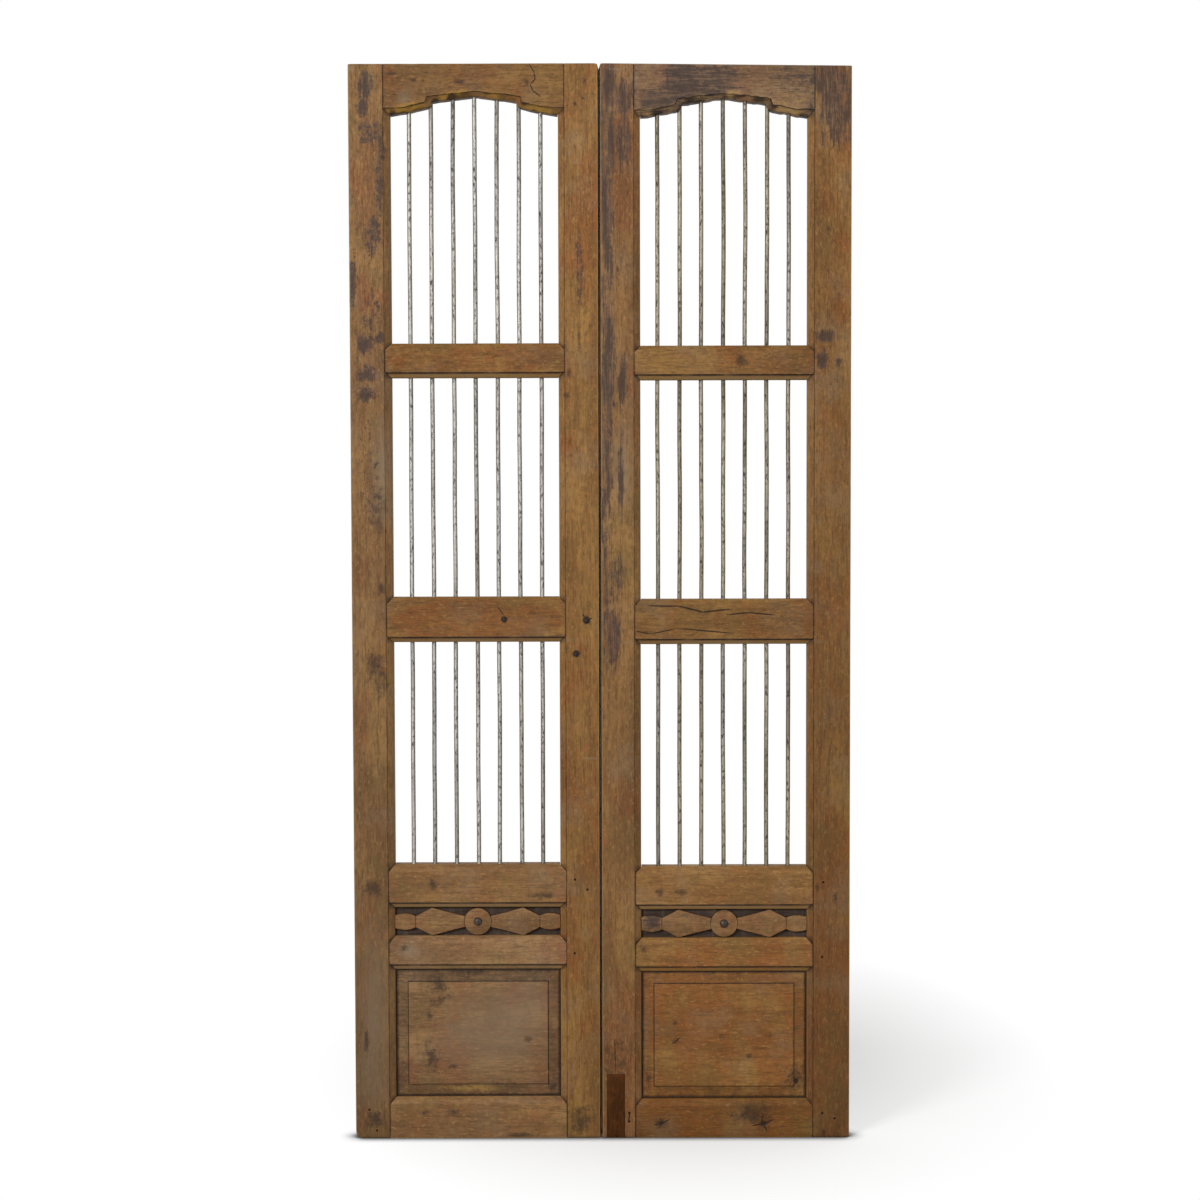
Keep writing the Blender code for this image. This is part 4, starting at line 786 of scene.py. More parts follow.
for seed, leaf in enumerate(LEAVES):
    near, far = OPENINGS[leaf]
    low, high = rail_span(leaf, "bottom")[1], rail_span(leaf, "frieze")[0]
    shape, layers = wood_shape()
    grid = []
    for z in panel_lines(low, high):
        line = []
        for x in panel_lines(near, far):
            sides = {"near": x - near, "far": far - x, "low": z - low, "high": high - z}
            side = min(sides, key=sides.get)
            inward = sides[side]
            past = inward - PANEL_MARGIN
            rise = PANEL_MARGIN_RISE * min(1, max(0, inward / PANEL_MARGIN))
            wear = 0
            if past > -SLIVER:
                wall, arris = min(1, past / FIELD_WALL), min(1, past / FIELD_ARRIS)
                rise += PANEL_FIELD_STEP * max(0, wall) * (0.85 + 0.15 * arris)
                rise += FIELD_WAVE * noise.noise((x * 14, z * 14, seed + 0.5))
                wear = 0.3 if past < FIELD_ARRIS + SLIVER else 0
                grime = STEP_SHADE_AND_DIRT if past < SLIVER else 0
            else:
                if side in ("near", "far"):
                    stroke = noise.noise(((x + z) * 90, (x - z) * 8, seed + 4.5))
                else:
                    stroke = noise.noise((x * 10, z * 110, seed + 8.5))
                rise += STROKE_DEPTH * stroke
                beside = inward < 2 * CORNER_WIDTH or past > -FIELD_ARRIS
                grime = CORNER_SHADE_AND_DIRT if inward < CORNER_WIDTH else NEAR_SHADE_AND_DIRT if beside else 0
                grime = max(grime, MARGIN_DARKENING[leaf][side])
            tone = PANEL_TONES[leaf] + (MARGIN_TONE if inward < PANEL_MARGIN else 0)
            line.append(wood_point(shape, layers, (x, FACE + PANEL_TONGUE_FRONT - rise, z), wear, grime, tone,
                                   PANEL_WARMTHS[leaf], (z + seed + 3.3, FACE, x + 2 * seed)))
        grid.append(line)
    for lower, upper in zip(grid, grid[1:]):
        for i in range(len(lower) - 1):
            shape.faces.new((lower[i], lower[i + 1], upper[i + 1], upper[i]))
    rim = grid[0] + [line[-1] for line in grid[1:]] + grid[-1][-2::-1] + [line[0] for line in grid[-2:0:-1]]
    back = []
    for vert in rim:
        behind = (vert.co.x, FACE + PANEL_TONGUE_FRONT + PANEL_TONGUE, vert.co.z)
        back.append(wood_point(shape, layers, behind, *(vert[layer] for layer in layers.values())))
        back[-1][layers["grime"]] = BACK_GRIME
    for i in range(len(rim)):
        shape.faces.new((rim[i - 1], rim[i], back[i], back[i - 1]))
    shape.faces.new(back)
    piece = wood_piece(f"{leaf}_raised_panel", shape)
    piece.data.materials.append(TEAK[leaf])
    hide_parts(f"{leaf}_panel")
    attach(piece, f"{leaf}_leaf")


# Jali strips
# A thin teak strip fills each low opening, sawn with a fret saw to a disc between two lozenges and two buds. Its rim
# is eased, and a knife line marks each neck and the sides of the disc.
STRIP_FRONT = 0.006
STRIP_THICKNESS = 0.009
STRIP_EASE = 0.0011
STRIP_FIT = 0.0003
SAW_WANDER = 0.0003
BUD_LENGTH = 0.038
BUD_HEIGHT = 0.031
BUD_END = 0.024
BUD_FULLNESS = 0.8
NECK_HEIGHT = 0.021
PEAK_SETBACK = 0.031
PEAK_SOFTNESS = 0.006
PEAK_CLEARANCE = 0.0008
DISC_CLEARANCE = 0.0015
WAIST_HEIGHT = 0.020
KNIFE_WIDTH = 0.0011
KNIFE_LIFT = 0.0004             # the cutting wedge starts this far in front of the wood
KNIFE_REACH = 0.02
KNIFE_RING_SIDES = 96
LINE_DEPTH = 0.0012             # dirt and painted shade fill a knife line down to here, and lie on the sawn walls below
WALL_SHADE_AND_DIRT = 0.7                # and lies on the sawn walls below
STRIP_TONE = -0.03
STRIP_WARMTH = -0.03


def strip_quarter(half_length, half_height):
    """Upper edge of half a strip from its middle to its end, where its neck is and how wide its disc is."""
    neck = half_length - STRIP_FIT - BUD_LENGTH
    peak, top = neck - PEAK_SETBACK, half_height - PEAK_CLEARANCE
    disc, waist = half_height - DISC_CLEARANCE, WAIST_HEIGHT / 2
    turn = asin(waist / disc)
    points = [(disc * cos(a), disc * sin(a)) for a in (pi / 2 + (turn - pi / 2) * i / 16 for i in range(17))]
    shoulder = disc * cos(turn)
    for i in range(1, 13):
        run = i / 12
        x = shoulder + (peak - PEAK_SOFTNESS - shoulder) * run
        points.append((x, waist + (top - waist) * (x - shoulder) / (peak - shoulder) * (0.9 + 0.1 * run)))
    points += [(peak - PEAK_SOFTNESS / 2, top - 0.0006), (peak, top), (peak + PEAK_SOFTNESS / 2, top - 0.0009)]
    for i in range(11):
        x = peak + PEAK_SOFTNESS + (PEAK_SETBACK - PEAK_SOFTNESS) * (i / 10)
        fall = (x - peak) / PEAK_SETBACK
        points.append((x, top + (NECK_HEIGHT / 2 - top) * fall))
    for i in range(1, 17):
        run = i / 16
        base = NECK_HEIGHT if run < 0.5 else BUD_END
        swell = max(0, sin(pi * run)) ** BUD_FULLNESS
        points.append((neck + BUD_LENGTH * run, (base + (BUD_HEIGHT - base) * swell) / 2))
    return points, neck, disc


for seed, leaf in enumerate(LEAVES):
    near, far = OPENINGS[leaf]
    low, high = rail_span(leaf, "frieze")[1], rail_span(leaf, "lock")[0]
    middle, level = (near + far) / 2, (low + high) / 2
    quarter, neck, disc = strip_quarter((far - near) / 2, (high - low) / 2)
    upper = [(-x, z) for x, z in quarter[:0:-1]] + quarter
    outline = upper + [(x, -z) for x, z in upper[::-1]]
    front = FACE + STRIP_FRONT
    rings = []
    for y, inset in ((front + STRIP_THICKNESS, 0), (front + STRIP_EASE, 0),
                     (front + 0.3 * STRIP_EASE, 0.3 * STRIP_EASE), (front, STRIP_EASE)):
        ring = []
        for i, (x, z) in enumerate(outline):
            (ax, az), (bx, bz) = outline[i - 1], outline[(i + 1) % len(outline)]
            length = hypot(bx - ax, bz - az)
            saw = SAW_WANDER * noise.noise((x * 160, z * 160, seed + 2.5))
            ring.append((middle + x + (bz - az) / length * (inset + saw), y,
                         level + z - (bx - ax) / length * (inset + saw), 0, 0))
        rings.append(ring)
    piece = board_from_rings(f"{leaf}_jali_fret", rings, "x", seed, (0, 0), 0)
    # Wedges, straight across each neck and round the disc, cut the knife lines.
    wedge = ((-KNIFE_WIDTH, -KNIFE_LIFT), (KNIFE_WIDTH, -KNIFE_LIFT), (0, KNIFE_WIDTH))
    cuts = [[[(x + dx, dy, z) for dx, dy in wedge] for z in (-KNIFE_REACH, KNIFE_REACH)] for x in (-neck, neck)]
    angles = [2 * pi * i / KNIFE_RING_SIDES for i in range(KNIFE_RING_SIDES)]
    cuts.append([[((disc + dr) * cos(a), dy, (disc + dr) * sin(a)) for dr, dy in wedge] for a in angles])
    knife = bmesh.new()
    for cut in cuts:
        loops = [[knife.verts.new((middle + x, front + y, level + z)) for x, y, z in loop] for loop in cut]
        ends = loops if len(loops) == 2 else []     # the cut round the disc has no ends to close
        for cap in ends:
            knife.faces.new(cap)
        for i in range(1 if ends else 0, len(loops)):
            for j in range(3):
                knife.faces.new((loops[i - 1][j - 1], loops[i - 1][j], loops[i][j], loops[i][j - 1]))
    bmesh.ops.recalc_face_normals(knife, faces=knife.faces)
    knife_mesh = bpy.data.meshes.new("knife_lines")
    knife.to_mesh(knife_mesh)
    knife.free()
    knife_lines = placed("knife_lines", knife_mesh)
    cut = piece.modifiers.new("knife", "BOOLEAN")
    cut.object, cut.operation, cut.solver = knife_lines, "DIFFERENCE", "EXACT"
    mesh = bpy.data.meshes.new_from_object(piece.evaluated_get(bpy.context.evaluated_depsgraph_get()))
    piece.modifiers.remove(cut)
    piece.data = mesh
    bpy.data.objects.remove(knife_lines)
    for i, vert in enumerate(mesh.vertices):
        sunk = max(0, vert.co.y - front)
        for label, look in (
            ("wear", 0.3 if sunk < KNIFE_LIFT else 0),
            ("grime", min(1, sunk / LINE_DEPTH) if sunk < LINE_DEPTH + SLIVER else WALL_SHADE_AND_DIRT),
            ("tone", STRIP_TONE),
            ("warmth", STRIP_WARMTH),
        ):
            mesh.attributes[label].data[i].value = look
        mesh.attributes["grain"].data[i].vector = (vert.co.z + 7.7 + seed, vert.co.y, vert.co.x + seed)
    mesh.materials.clear()
    mesh.materials.append(TEAK[leaf])
    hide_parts(f"{leaf}_jali_strip")
    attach(piece, f"{leaf}_leaf")


# Backing boards
# A plain thin board slides in a groove behind each jali strip and closes its gaps. It was never oiled: the wood has
# gone a dusty purple-grey, with the saw's upright lines still on it. Its colour is also darkened, with darker
# patches, as painted shade for the recess behind the strip.
# The grey and its dark patches are partly painted shade for the recess behind the strip.
BOARD_GREY = "#43372f"
BOARD_DARK_AND_SHADE = "#231a15"
BOARD_DUST = "#635446"


def layered(name, base, layers, relief, finish, dulling=None, detail=4, harshness=0.5, front=None):
    """A material of one colour under layers of noise, the last of which also gives its relief.

    Each layer has its sizes in millimetres, where it starts, where it is full, how strong it is and its colour. The
    relief is a strength and a depth, and the finish holds values for the shader. The dulling is the roughness where
    the last noise is low and where it is high. The front is a painted highlight on what faces forwards.
    """
    material, tree, shader = new_material(name)
    texture = add(tree, "ShaderNodeTexCoord").outputs
    colour = linear(base)
    if front:
        # Painted highlight: what faces forwards is mixed towards the front colour.
        facing = add(tree, "ShaderNodeSeparateXYZ", {0: texture["Normal"]}).outputs["Y"]
        painted_highlight = add(tree, "ShaderNodeMapRange", {"Value": facing, "From Min": -0.6, "From Max": -0.95})
        colour = add(tree, "ShaderNodeMix", {0: painted_highlight, 6: colour, 7: linear(front)}, data_type="RGBA").outputs[2]
    for sizes, start, full, strength, shade in layers:
        scaled = add(tree, "ShaderNodeMapping", {"Vector": texture["Object"], "Scale": per_mm(*sizes)})
        pattern = add(tree, "ShaderNodeTexNoise", {"Vector": scaled, "Scale": 1, "Detail": detail,
                                                   "Roughness": harshness}).outputs["Fac"]
        mask = add(tree, "ShaderNodeMapRange", {"Value": pattern, "From Min": start, "From Max": full,
                                                "To Max": strength})
        colour = add(tree, "ShaderNodeMix", {0: mask, 6: colour, 7: linear(shade)}, data_type="RGBA").outputs[2]
    if dulling:
        rough = add(tree, "ShaderNodeMapRange", {"Value": pattern, "From Min": 0.35, "From Max": 0.65,
                                                 "To Min": dulling[0], "To Max": dulling[1]})
        finish = {**finish, "Roughness": rough}
    bump = add(tree, "ShaderNodeBump", {"Strength": relief[0], "Distance": relief[1], "Height": pattern})
    give(tree, shader, {"Base Color": colour, "Normal": bump, **finish})
    return material


backing = layered("unoiled_backing_board", BOARD_GREY, (
    ((90, 90, 7), 0.45, 0.7, 0.7, BOARD_DARK_AND_SHADE),
    ((12, 12, 30), 0.52, 0.75, 0.6, BOARD_DUST),
    ((3, 3, 60), 0.55, 0.7, 0.5, BOARD_DARK_AND_SHADE),
), relief=(0.4, 0.0006), finish={"Roughness": 0.8, "Specular IOR Level": 0.15})
for leaf in LEAVES:
    board = frame["nodes"][f"{leaf}_jali_backing"]
    board.data.materials.clear()
    board.data.materials.append(backing)


# Iron rods
# Seven round bars to a leaf, drawn by hand and slightly bent, run in one length from the lock rail up into the top
# rail and pass through the rails between. Their fronts carry a painted highlight; the sides keep a crust of rust.
ROD_COUNT = 7
ROD_RADIUS = 0.004
ROD_SIDES = 14
ROD_POINTS = 72                 # along a rod, to bend it
ROD_BEND = 0.0022
ROD_SWAY = (2, 0.6, 0)          # they bend more sideways than back and forth,
ROD_WANDER = (37, 0, 3.2)       # each in its own way, and slowly along it
ROD_SHARP = radians(50)
IRON_RUST = "#2c2016"
# The left leaf's rods carry a paler grey painted highlight down their fronts; the right leaf's keep an olive crust.
ROD_IRON = {}
for leaf, name, painted_highlight, olive, crusted in (("left", "wrought_iron_with_painted_highlight", "#b4b0a6", "#544b3b", 0.6),
                                           ("right", "crusted_wrought_iron", "#9c937f", "#4e4431", 0.75)):
    ROD_IRON[leaf] = layered(name, olive, (
        ((30, 30, 260), 0.46, 0.60, 0.9 * crusted, olive),
        ((9, 9, 40), 0.50, 0.66, 0.75 * crusted, olive),
        ((4, 4, 9), 0.53, 0.62, 0.85, IRON_RUST),
    ), relief=(0.5, 0.0008), finish={"Metallic": 0.35}, dulling=(0.42, 0.8), detail=5, harshness=0.65, front=painted_highlight)


def node_group(name, inputs):
    """A Geometry Nodes tree with named inputs, and what it is given through them."""
    tree = bpy.data.node_groups.new(name, "GeometryNodeTree")
    for label, kind in (("Geometry", "Geometry"), *inputs.items()):
        tree.interface.new_socket(label, in_out="INPUT", socket_type=f"NodeSocket{kind}")
    tree.interface.new_socket("Geometry", in_out="OUTPUT", socket_type="NodeSocketGeometry")
    return tree, add(tree, "NodeGroupInput").outputs


def grown(name, tree, points, sizes):
    """A plain mesh piece that a tree makes from starting points."""
    start = bpy.data.meshes.new(name)
    start.from_pydata(points, [], [])
    piece = placed(name, start)
    rule = piece.modifiers.new("rule", "NODES")
    rule.node_group = tree
    for socket in tree.interface.items_tree:
        if socket.in_out == "INPUT" and socket.name in sizes:
            rule[socket.identifier] = sizes[socket.name]
    mesh = bpy.data.meshes.new_from_object(piece.evaluated_get(bpy.context.evaluated_depsgraph_get()))
    piece.modifiers.remove(rule)
    piece.data = mesh
    return piece


rods, given = node_group("row_of_rods", {"Length": "Float", "Radius": "Float", "Bend": "Float", "Iron": "Material"})
tip = add(rods, "ShaderNodeCombineXYZ", {"Z": given["Length"]})
bar = add(rods, "GeometryNodeCurvePrimitiveLine", {"End": tip})
bar = add(rods, "GeometryNodeResampleCurve", {"Curve": bar, "Count": ROD_POINTS})
row = add(rods, "GeometryNodeInstanceOnPoints", {"Points": given["Geometry"], "Instance": bar})
row = add(rods, "GeometryNodeRealizeInstances", {0: row})
wander = add(rods, "ShaderNodeVectorMath", {0: add(rods, "GeometryNodeInputPosition"), 1: ROD_WANDER},
             operation="MULTIPLY")
bend = add(rods, "ShaderNodeTexNoise", {"Vector": wander, "Scale": 1, "Detail": 1})
bend = add(rods, "ShaderNodeVectorMath", {0: bend.outputs["Color"], 1: (0.5, 0.5, 0.5)}, operation="SUBTRACT")
bend = add(rods, "ShaderNodeVectorMath", {0: bend, 1: ROD_SWAY}, operation="MULTIPLY")
bend = add(rods, "ShaderNodeVectorMath", {0: bend, "Scale": given["Bend"]}, operation="SCALE")
row = add(rods, "GeometryNodeSetPosition", {"Geometry": row, "Offset": bend})
round_bar = add(rods, "GeometryNodeCurvePrimitiveCircle", {"Resolution": ROD_SIDES, "Radius": given["Radius"]})
row = add(rods, "GeometryNodeCurveToMesh", {"Curve": row, "Profile Curve": round_bar, "Fill Caps": True})
row = add(rods, "GeometryNodeRealizeInstances", {0: row})
row = add(rods, "GeometryNodeSetMaterial", {"Geometry": row, "Material": given["Iron"]})
add(rods, "NodeGroupOutput", {0: row})
for leaf in LEAVES:
    nodes = [f"{leaf}_rod_{i + 1}" for i in range(ROD_COUNT)]
    feet = []
    for node in nodes:
        low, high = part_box(node)
        feet.append(((low[0] + high[0]) / 2, (low[1] + high[1]) / 2, low[2]))
    piece = grown(f"{leaf}_iron_rods", rods, feet,
                  {"Length": high[2] - low[2], "Radius": ROD_RADIUS, "Bend": ROD_BEND, "Iron": ROD_IRON[leaf]})
    piece.data.shade_smooth()
    piece.data.set_sharp_from_angle(angle=ROD_SHARP)
    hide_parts(*nodes)
    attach(piece, f"{leaf}_leaf")


# Studs, spikes and nails
# A forged dome stud holds each jali strip to its backing; spikes and plain nails pin the tenons and old repairs. The
# studs are blackened iron, hammered over, with a little bright metal; spikes and nails are almost flush and rusted.
STUD_RADIUS = 0.0078
STUD_RISE = 0.0055
STUD_FRONT = 0.006
STUD_DENTS = 0.0006
SPIKE_RADIUS = 0.0048
SPIKE_RISE = 0.0018
SPIKES = {"left": [(-179, 970), (-27, 968), (-46, 906)], "right": []}     # millimetres across and up
NAIL_RADIUS = 0.0023
NAIL_RISE = 0.0011
NAIL_DENTS = 0.0005
NAIL_SINK = 0.0004
NAILS = {"left": [(-50, 486), (-27, 467), (-51, 348), (-435, 54), (-421, 15)],
         "right": [(411, 480), (409, 340), (410, 46), (433, 36), (50, 47), (50, 31)]}
DENTS_PER_METRE = 260.0
BLACK_IRON = "#32281f"
BLACK_IRON_WORN = "#8c857c"
BLACK_IRON_RUST = "#2a1d14"
NAIL_RUST = "#21150d"
NAIL_RUST_WORN = "#3a2617"
SPIKE_WORN = "#75695a"
stud_iron, spike_iron, nail_iron = (
    layered(name, base, (((5, 5, 5), 0.5, 0.7, 0.7, rust), ((3, 3, 3), 0.56, 0.7, 0.4, worn)), relief=(0.5, 0.0008),
            finish={"Metallic": metallic, "Roughness": roughness, "Specular IOR Level": gloss})
    for name, base, rust, worn, metallic, roughness, gloss in (
        ("hammered_black_iron", BLACK_IRON, BLACK_IRON_RUST, BLACK_IRON_WORN, 0.25, 0.4, 0.4),
        ("rusted_spike_iron", NAIL_RUST, DIRT_AND_SHADE, SPIKE_WORN, 0.1, 0.6, 0.2),
        ("rusted_nail_iron", NAIL_RUST, DIRT_AND_SHADE, NAIL_RUST_WORN, 0, 0.8, 0.1)))

heads, given = node_group("driven_heads", {"Radius": "Float", "Rise": "Float", "Uneven": "Float", "Iron": "Material"})
dome = add(heads, "GeometryNodeMeshUVSphere", {"Segments": 20, "Rings": 12, "Radius": 1.0})
squash = add(heads, "ShaderNodeCombineXYZ", {"X": given["Radius"], "Y": given["Rise"], "Z": given["Radius"]})
dome = add(heads, "GeometryNodeTransform", {"Geometry": dome, "Scale": squash})
turned = add(heads, "FunctionNodeRandomValue", {"Min": (0, 0, 0), "Max": (0, 2 * pi, 0), "Seed": 3},
             data_type="FLOAT_VECTOR")
driven = add(heads, "GeometryNodeInstanceOnPoints", {
    "Points": given["Geometry"], "Instance": dome, "Rotation": turned})
driven = add(heads, "GeometryNodeRealizeInstances", {0: driven})
dented = add(heads, "ShaderNodeTexNoise", {
    "Vector": add(heads, "GeometryNodeInputPosition"), "Scale": DENTS_PER_METRE})
dented = add(heads, "ShaderNodeVectorMath", {0: dented.outputs["Color"], 1: (0.5, 0.5, 0.5)}, operation="SUBTRACT")
dented = add(heads, "ShaderNodeVectorMath", {0: dented, "Scale": given["Uneven"]}, operation="SCALE")
driven = add(heads, "GeometryNodeSetPosition", {"Geometry": driven, "Offset": dented})
driven = add(heads, "GeometryNodeSetMaterial", {"Geometry": driven, "Material": given["Iron"]})
add(heads, "NodeGroupOutput", {0: driven})
for leaf in LEAVES:
    low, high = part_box(f"{leaf}_jali_stud")
    middle = ((low[0] + high[0]) / 2, FACE + STUD_FRONT, (low[2] + high[2]) / 2)
    stud = grown(f"{leaf}_dome_stud", heads, [middle],
                 {"Radius": STUD_RADIUS, "Rise": STUD_RISE, "Uneven": STUD_DENTS, "Iron": stud_iron})
    stud.data.shade_smooth()
    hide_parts(f"{leaf}_jali_stud")
    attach(stud, f"{leaf}_leaf")
    for label, places, radius, rise, iron in (("spikes", SPIKES[leaf], SPIKE_RADIUS, SPIKE_RISE, spike_iron),
                                              ("nails", NAILS[leaf], NAIL_RADIUS, NAIL_RISE, nail_iron)):
        if places:
            nails = grown(f"{leaf}_{label}", heads, [(x / 1000, FACE + NAIL_SINK, z / 1000) for x, z in places],
                          {"Radius": radius, "Rise": rise, "Uneven": NAIL_DENTS, "Iron": iron})
            nails.data.shade_smooth()
            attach(nails, f"{leaf}_leaf")


# Repair patch
# A new piece of darker wood let into the foot of the right meeting stile, where the old wood had rotted. It is planed
# almost flush and dark with oil.
PATCH_PROUD = 0.0004
PATCH_EASE = 0.0009
PATCH_WANDER = 0.0003
PATCH_POINTS = (6, 20)          # across and up
PATCH_BROWN = "#432811"
PATCH_BLACK = "#2a1708"
PATCH_RED = "#573117"
patch_wood = layered("dark_oiled_teak", PATCH_BROWN, (
    ((8, 8, 90), 0.48, 0.66, 0.8, PATCH_BLACK),
    ((3, 3, 40), 0.5, 0.65, 0.8, PATCH_RED),
    ((14, 14, 14), 0.5, 0.66, 0.7, PATCH_RED),
), relief=(0.5, 0.001), finish={"Roughness": 0.6, "Specular IOR Level": 0.05}, detail=5)
low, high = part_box("right_repair_patch")
rings = []
for depth, inset in ((high[1] - FACE, 0), (PATCH_EASE - PATCH_PROUD, 0),
                     (0.3 * PATCH_EASE - PATCH_PROUD, 0.3 * PATCH_EASE), (-PATCH_PROUD, PATCH_EASE)):
    (x0, x1), (z0, z1) = ((low[axis] + inset, high[axis] - inset) for axis in (0, 2))
    xs, zs = ([start + (stop - start) * i / count for i in range(count + 1)]
              for start, stop, count in ((x0, x1, PATCH_POINTS[0]), (z0, z1, PATCH_POINTS[1])))
    rim = [(x, z0) for x in xs] + [(x1, z) for z in zs[1:]]
    rim += [(x, z1) for x in xs[-2::-1]] + [(x0, z) for z in zs[-2:0:-1]]
    rings.append([(x + PATCH_WANDER * noise.noise((x * 90, z * 90, 1.5)), FACE + depth,
                   max(0, z + PATCH_WANDER * noise.noise((x * 90, z * 90, 7.5))), 0, 0) for x, z in rim])
patch = board_from_rings("right_let_in_patch", rings, "z", 70.1, (0, 0), 0)
patch.data.materials.append(patch_wood)
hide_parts("right_repair_patch")
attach(patch, "right_leaf")


# Hinges
# Three cast iron butt hinges to a leaf, let flush into the outer edge with their knuckles at the back. The leaf flaps
# are fixed by countersunk slotted screws; the jamb flaps wait for the screws of the door frame. The iron is a dull
# grey-brown, rusted in patches and brighter where it rubs.
SCREW_RADIUS = 0.0041
SCREW_TIP_RADIUS = 0.0023
SCREW_SINK = 0.0022
SCREW_BELOW = 0.0001            # the heads lie this far below the flap
FLAP_GAP = 0.00025              # from the pin's middle to the flap's face
SLOT_WIDTH = 0.0011
SLOT_DEPTH = 0.0009
SLOT_LENGTH = 0.02
SCREW_HEIGHTS = (0.016, 0.050, 0.084)
SCREW_DEPTHS = (0.018, 0.026, 0.018)
HINGE_IRON = "#4a443e"
HINGE_WORN = "#7f7a72"
HINGE_RUST = "#5a3a22"
hinge_iron = layered("aged_cast_iron", HINGE_IRON, (
    ((14, 14, 14), 0.5, 0.7, 0.7, HINGE_RUST),
    ((5, 5, 5), 0.54, 0.7, 0.6, HINGE_WORN),
    ((2.5, 2.5, 2.5), 0.56, 0.7, 0.6, HINGE_RUST),
), relief=(0.4, 0.0005), finish={"Metallic": 0.75}, dulling=(0.45, 0.75), detail=5, harshness=0.6)
for node in [n for n in frame["nodes"] if "_hinge_" in n and not n.endswith("_stile")]:
    frame["nodes"][node].data.materials.clear()
    frame["nodes"][node].data.materials.append(hinge_iron)

screws, given = node_group("countersunk_screws", {"Radius": "Float", "Tip": "Float", "Sink": "Float",
                                                  "Turn": "Vector", "Iron": "Material"})
head = add(screws, "GeometryNodeMeshCone", {"Vertices": 20, "Radius Top": given["Radius"],
                                            "Radius Bottom": given["Tip"], "Depth": given["Sink"]})
slot_box = add(screws, "GeometryNodeMeshCube", {"Size": (SLOT_LENGTH, SLOT_WIDTH, 2 * SLOT_DEPTH)})
slot_place = add(screws, "ShaderNodeCombineXYZ", {"Z": given["Sink"]})
slot_box = add(screws, "GeometryNodeTransform", {"Geometry": slot_box, "Translation": slot_place})
head = add(screws, "GeometryNodeMeshBoolean", {0: head, 1: slot_box}, operation="DIFFERENCE", solver="EXACT")
spin = add(screws, "FunctionNodeRandomValue", {"Min": (0, 0, 0), "Max": (0, 0, pi), "Seed": 5},
           data_type="FLOAT_VECTOR")
driven = add(screws, "GeometryNodeInstanceOnPoints", {
    "Points": given["Geometry"], "Instance": head, "Rotation": given["Turn"]})
driven = add(screws, "GeometryNodeRotateInstances", {"Instances": driven, "Rotation": spin, "Local Space": True})
driven = add(screws, "GeometryNodeRealizeInstances", {0: driven})
driven = add(screws, "GeometryNodeSetMaterial", {"Geometry": driven, "Material": given["Iron"]})
add(screws, "NodeGroupOutput", {0: driven})
for leaf in LEAVES:
    outward = -1 if leaf == "left" else 1
    points = []
    for place in ("bottom", "middle", "top"):
        flap_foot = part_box(f"{leaf}_{place}_hinge_leaf_flap")[0][2]
        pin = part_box(f"{leaf}_{place}_hinge_pin")
        flap_face = (pin[0][0] + pin[1][0]) / 2 - outward * FLAP_GAP
        for height, depth in zip(SCREW_HEIGHTS, SCREW_DEPTHS):
            points.append((flap_face - outward * (SCREW_SINK + SCREW_BELOW), FACE + depth, flap_foot + height))
    piece = grown(f"{leaf}_hinge_screws", screws, points, {
        "Radius": SCREW_RADIUS, "Tip": SCREW_TIP_RADIUS, "Sink": SCREW_SINK, "Turn": (0, outward * pi / 2, 0),
        "Iron": hinge_iron})
    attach(piece, f"{leaf}_leaf")


# Floor, light and camera
# A plain white studio floor that fades into a white surround, with a painted contact shadow along the leaves' feet,
# one broad soft light from the upper left and an even fill. The camera stands 4.5 m in front of the pair, looking
# slightly down.
FLOOR_SIZE = 14
FLOOR_SHADE = (0.17, 0.67, 0)   # where the shadow lies; the floor fades to white away from it
FLOOR_STRETCH = (0.64, 1, 1)
FLOOR_NEAR = 0.34
FLOOR_FAR = 1.22
FLOOR_WHITE = "#fbfbfa"
FLOOR_BOUNCE = "#8f8d8a"        # what the leaves get back from it
FLOOR_GLOW = 0.1                # white mixed in even where the shadow is darkest
FLOOR_CONTACT = 0.034           # a painted contact shadow lies this close to the leaves' feet
FILL = 0.4
FILL_BEHIND = 0.9
LIGHT_AIM = Vector((0, 0, 1))
CAMERA_DISTANCE = 4.5
CAMERA_SIDE = 0.0039
CAMERA_HEIGHT = 1.2472
CAMERA_DOWN = 3.074
CAMERA_ROLL = 0.152
CAMERA_TURN = 0.069
CAMERA_LENS = 73.28


def seen(tree):
    """1 for what the camera sees, straight or by way of a mirror or glass, and 0 for light on its way."""
    rays = add(tree, "ShaderNodeLightPath").outputs
    straight = add(tree, "ShaderNodeMath", {0: rays["Is Camera Ray"], 1: rays["Is Glossy Ray"]}, operation="MAXIMUM")
    return add(tree, "ShaderNodeMath", {0: straight, 1: rays["Is Transmission Ray"]}, operation="MAXIMUM")


paper, tree, shader = new_material("studio_paper")
watched = seen(tree)
paint = add(tree, "ShaderNodeMix", {0: watched, 6: linear(FLOOR_BOUNCE), 7: linear(FLOOR_WHITE)}, data_type="RGBA")
give(tree, shader, {"Base Color": paint.outputs[2], "Roughness": 0.9})
away = add(tree, "ShaderNodeMapping", {"Vector": add(tree, "ShaderNodeTexCoord").outputs["Object"],
                                       "Location": FLOOR_SHADE, "Scale": FLOOR_STRETCH}, vector_type="TEXTURE")
away = add(tree, "ShaderNodeVectorMath", {0: away}, operation="LENGTH")
fade = add(tree, "ShaderNodeMapRange", {"Value": away.outputs["Value"], "From Min": FLOOR_NEAR,
                                        "From Max": FLOOR_FAR, "To Min": FLOOR_GLOW})
fade = add(tree, "ShaderNodeMath", {0: fade, 1: watched}, operation="MULTIPLY")
glow = add(tree, "ShaderNodeEmission", {"Color": (1, 1, 1, 1), "Strength": 1.0})
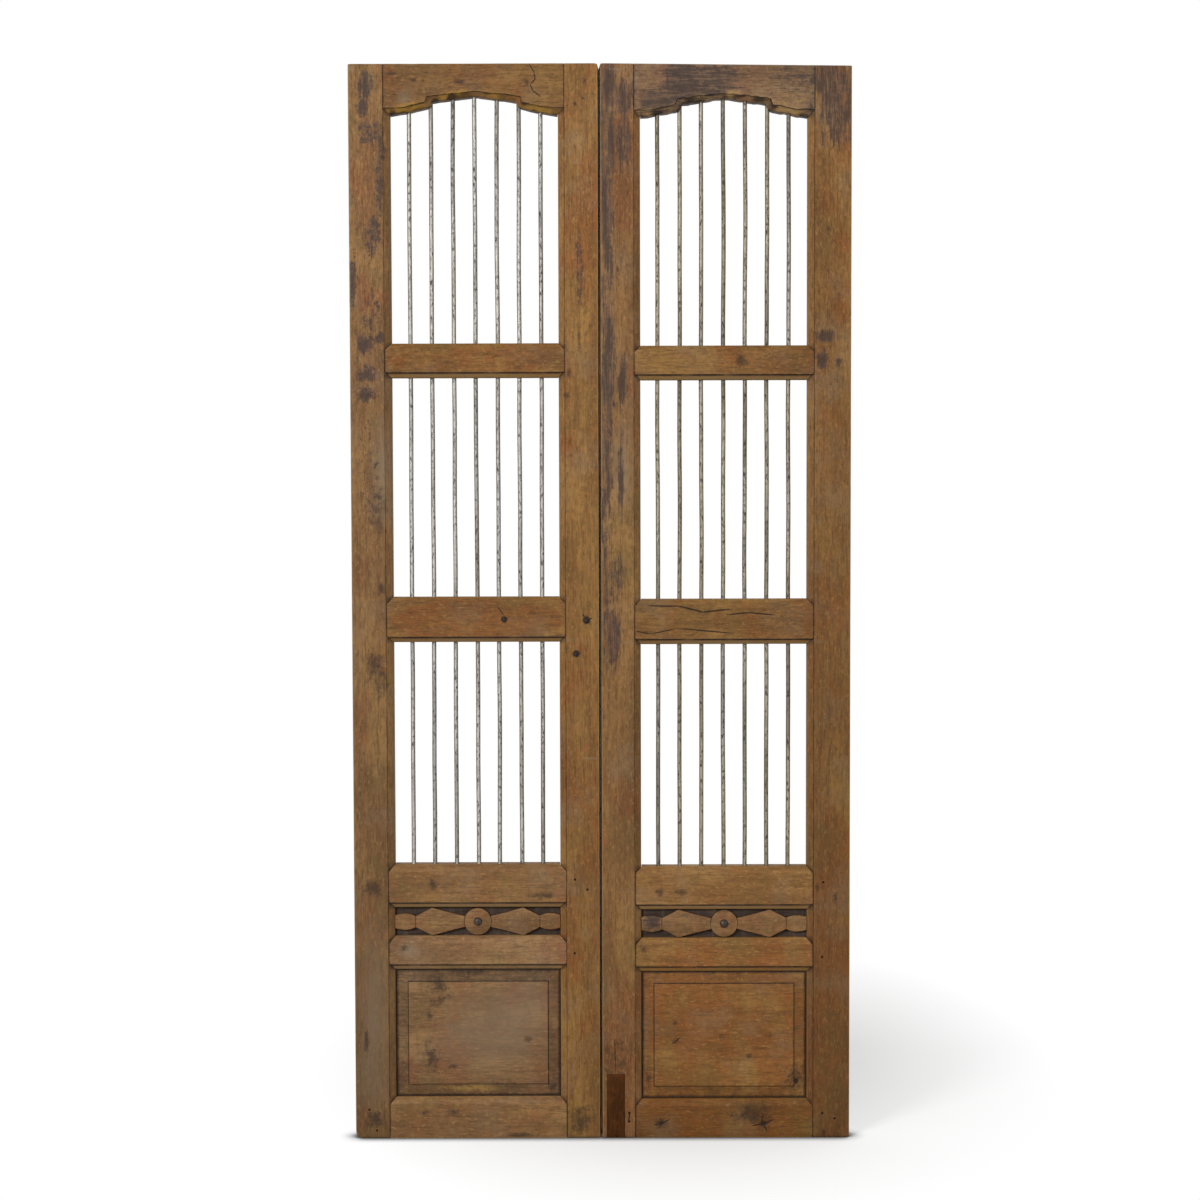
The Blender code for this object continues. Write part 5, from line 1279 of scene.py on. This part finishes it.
blend = add(tree, "ShaderNodeMixShader", {0: fade, 1: shader, 2: glow})
# Painted contact shadow: where little light reaches the floor beside the leaves' feet, it is mixed towards black.
closed = add(tree, "ShaderNodeAmbientOcclusion", {"Distance": FLOOR_CONTACT}, samples=8)
contact_shadow = add(tree, "ShaderNodeMapRange", {"Value": closed.outputs["AO"], "From Min": 0.95, "From Max": 0.5,
                                           "To Max": 0.9})
painted_shadow = add(tree, "ShaderNodeEmission", {"Strength": 0.0})
blend = add(tree, "ShaderNodeMixShader", {0: contact_shadow, 1: blend, 2: painted_shadow})
give(tree, tree.nodes["Material Output"], {"Surface": blend})
half = FLOOR_SIZE / 2
floor_mesh = bpy.data.meshes.new("studio_floor")
floor_mesh.from_pydata([(-half, -half, 0), (half, -half, 0), (half, half, 0), (-half, half, 0)], [], [(0, 1, 2, 3)])
floor_mesh.materials.append(paper)
floor = placed("studio_floor", floor_mesh)

world = bpy.data.worlds.new("studio")
world.use_nodes = True
tree = world.node_tree
behind = add(tree, "ShaderNodeSeparateXYZ", {0: add(tree, "ShaderNodeTexCoord").outputs["Generated"]}).outputs["Y"]
fill = add(tree, "ShaderNodeMapRange", {"Value": behind, "From Min": 0.1, "From Max": 0.6, "To Min": FILL,
                                        "To Max": FILL_BEHIND})
level = add(tree, "ShaderNodeMix", {0: seen(tree), 2: fill, 3: 1.0})
give(tree, tree.nodes["Background"], {"Color": (1, 1, 1, 1), "Strength": level})
bpy.context.scene.world = world

for label, spot, size, power in (("key_light", (-3.2, -5.0, 3.2), 1.8, 290),
                                 ("side_light", (2.8, -3.0, 2.6), 2.4, 30)):
    lamp = bpy.data.lights.new(label, "AREA")
    lamp.size, lamp.energy = size, power
    light = placed(label, lamp)
    light.location = spot
    light.rotation_euler = (LIGHT_AIM - Vector(spot)).to_track_quat("-Z", "Y").to_euler()

lens = bpy.data.cameras.new("photo_camera")
lens.sensor_width = 36
lens.lens = CAMERA_LENS
camera = placed("photo_camera", lens)
camera.location = (CAMERA_SIDE, FACE - CAMERA_DISTANCE, CAMERA_HEIGHT)
camera.rotation_euler = (radians(90 - CAMERA_DOWN), radians(CAMERA_ROLL), radians(CAMERA_TURN))
bpy.context.scene.camera = camera
bpy.context.scene.view_settings.view_transform = "Standard"
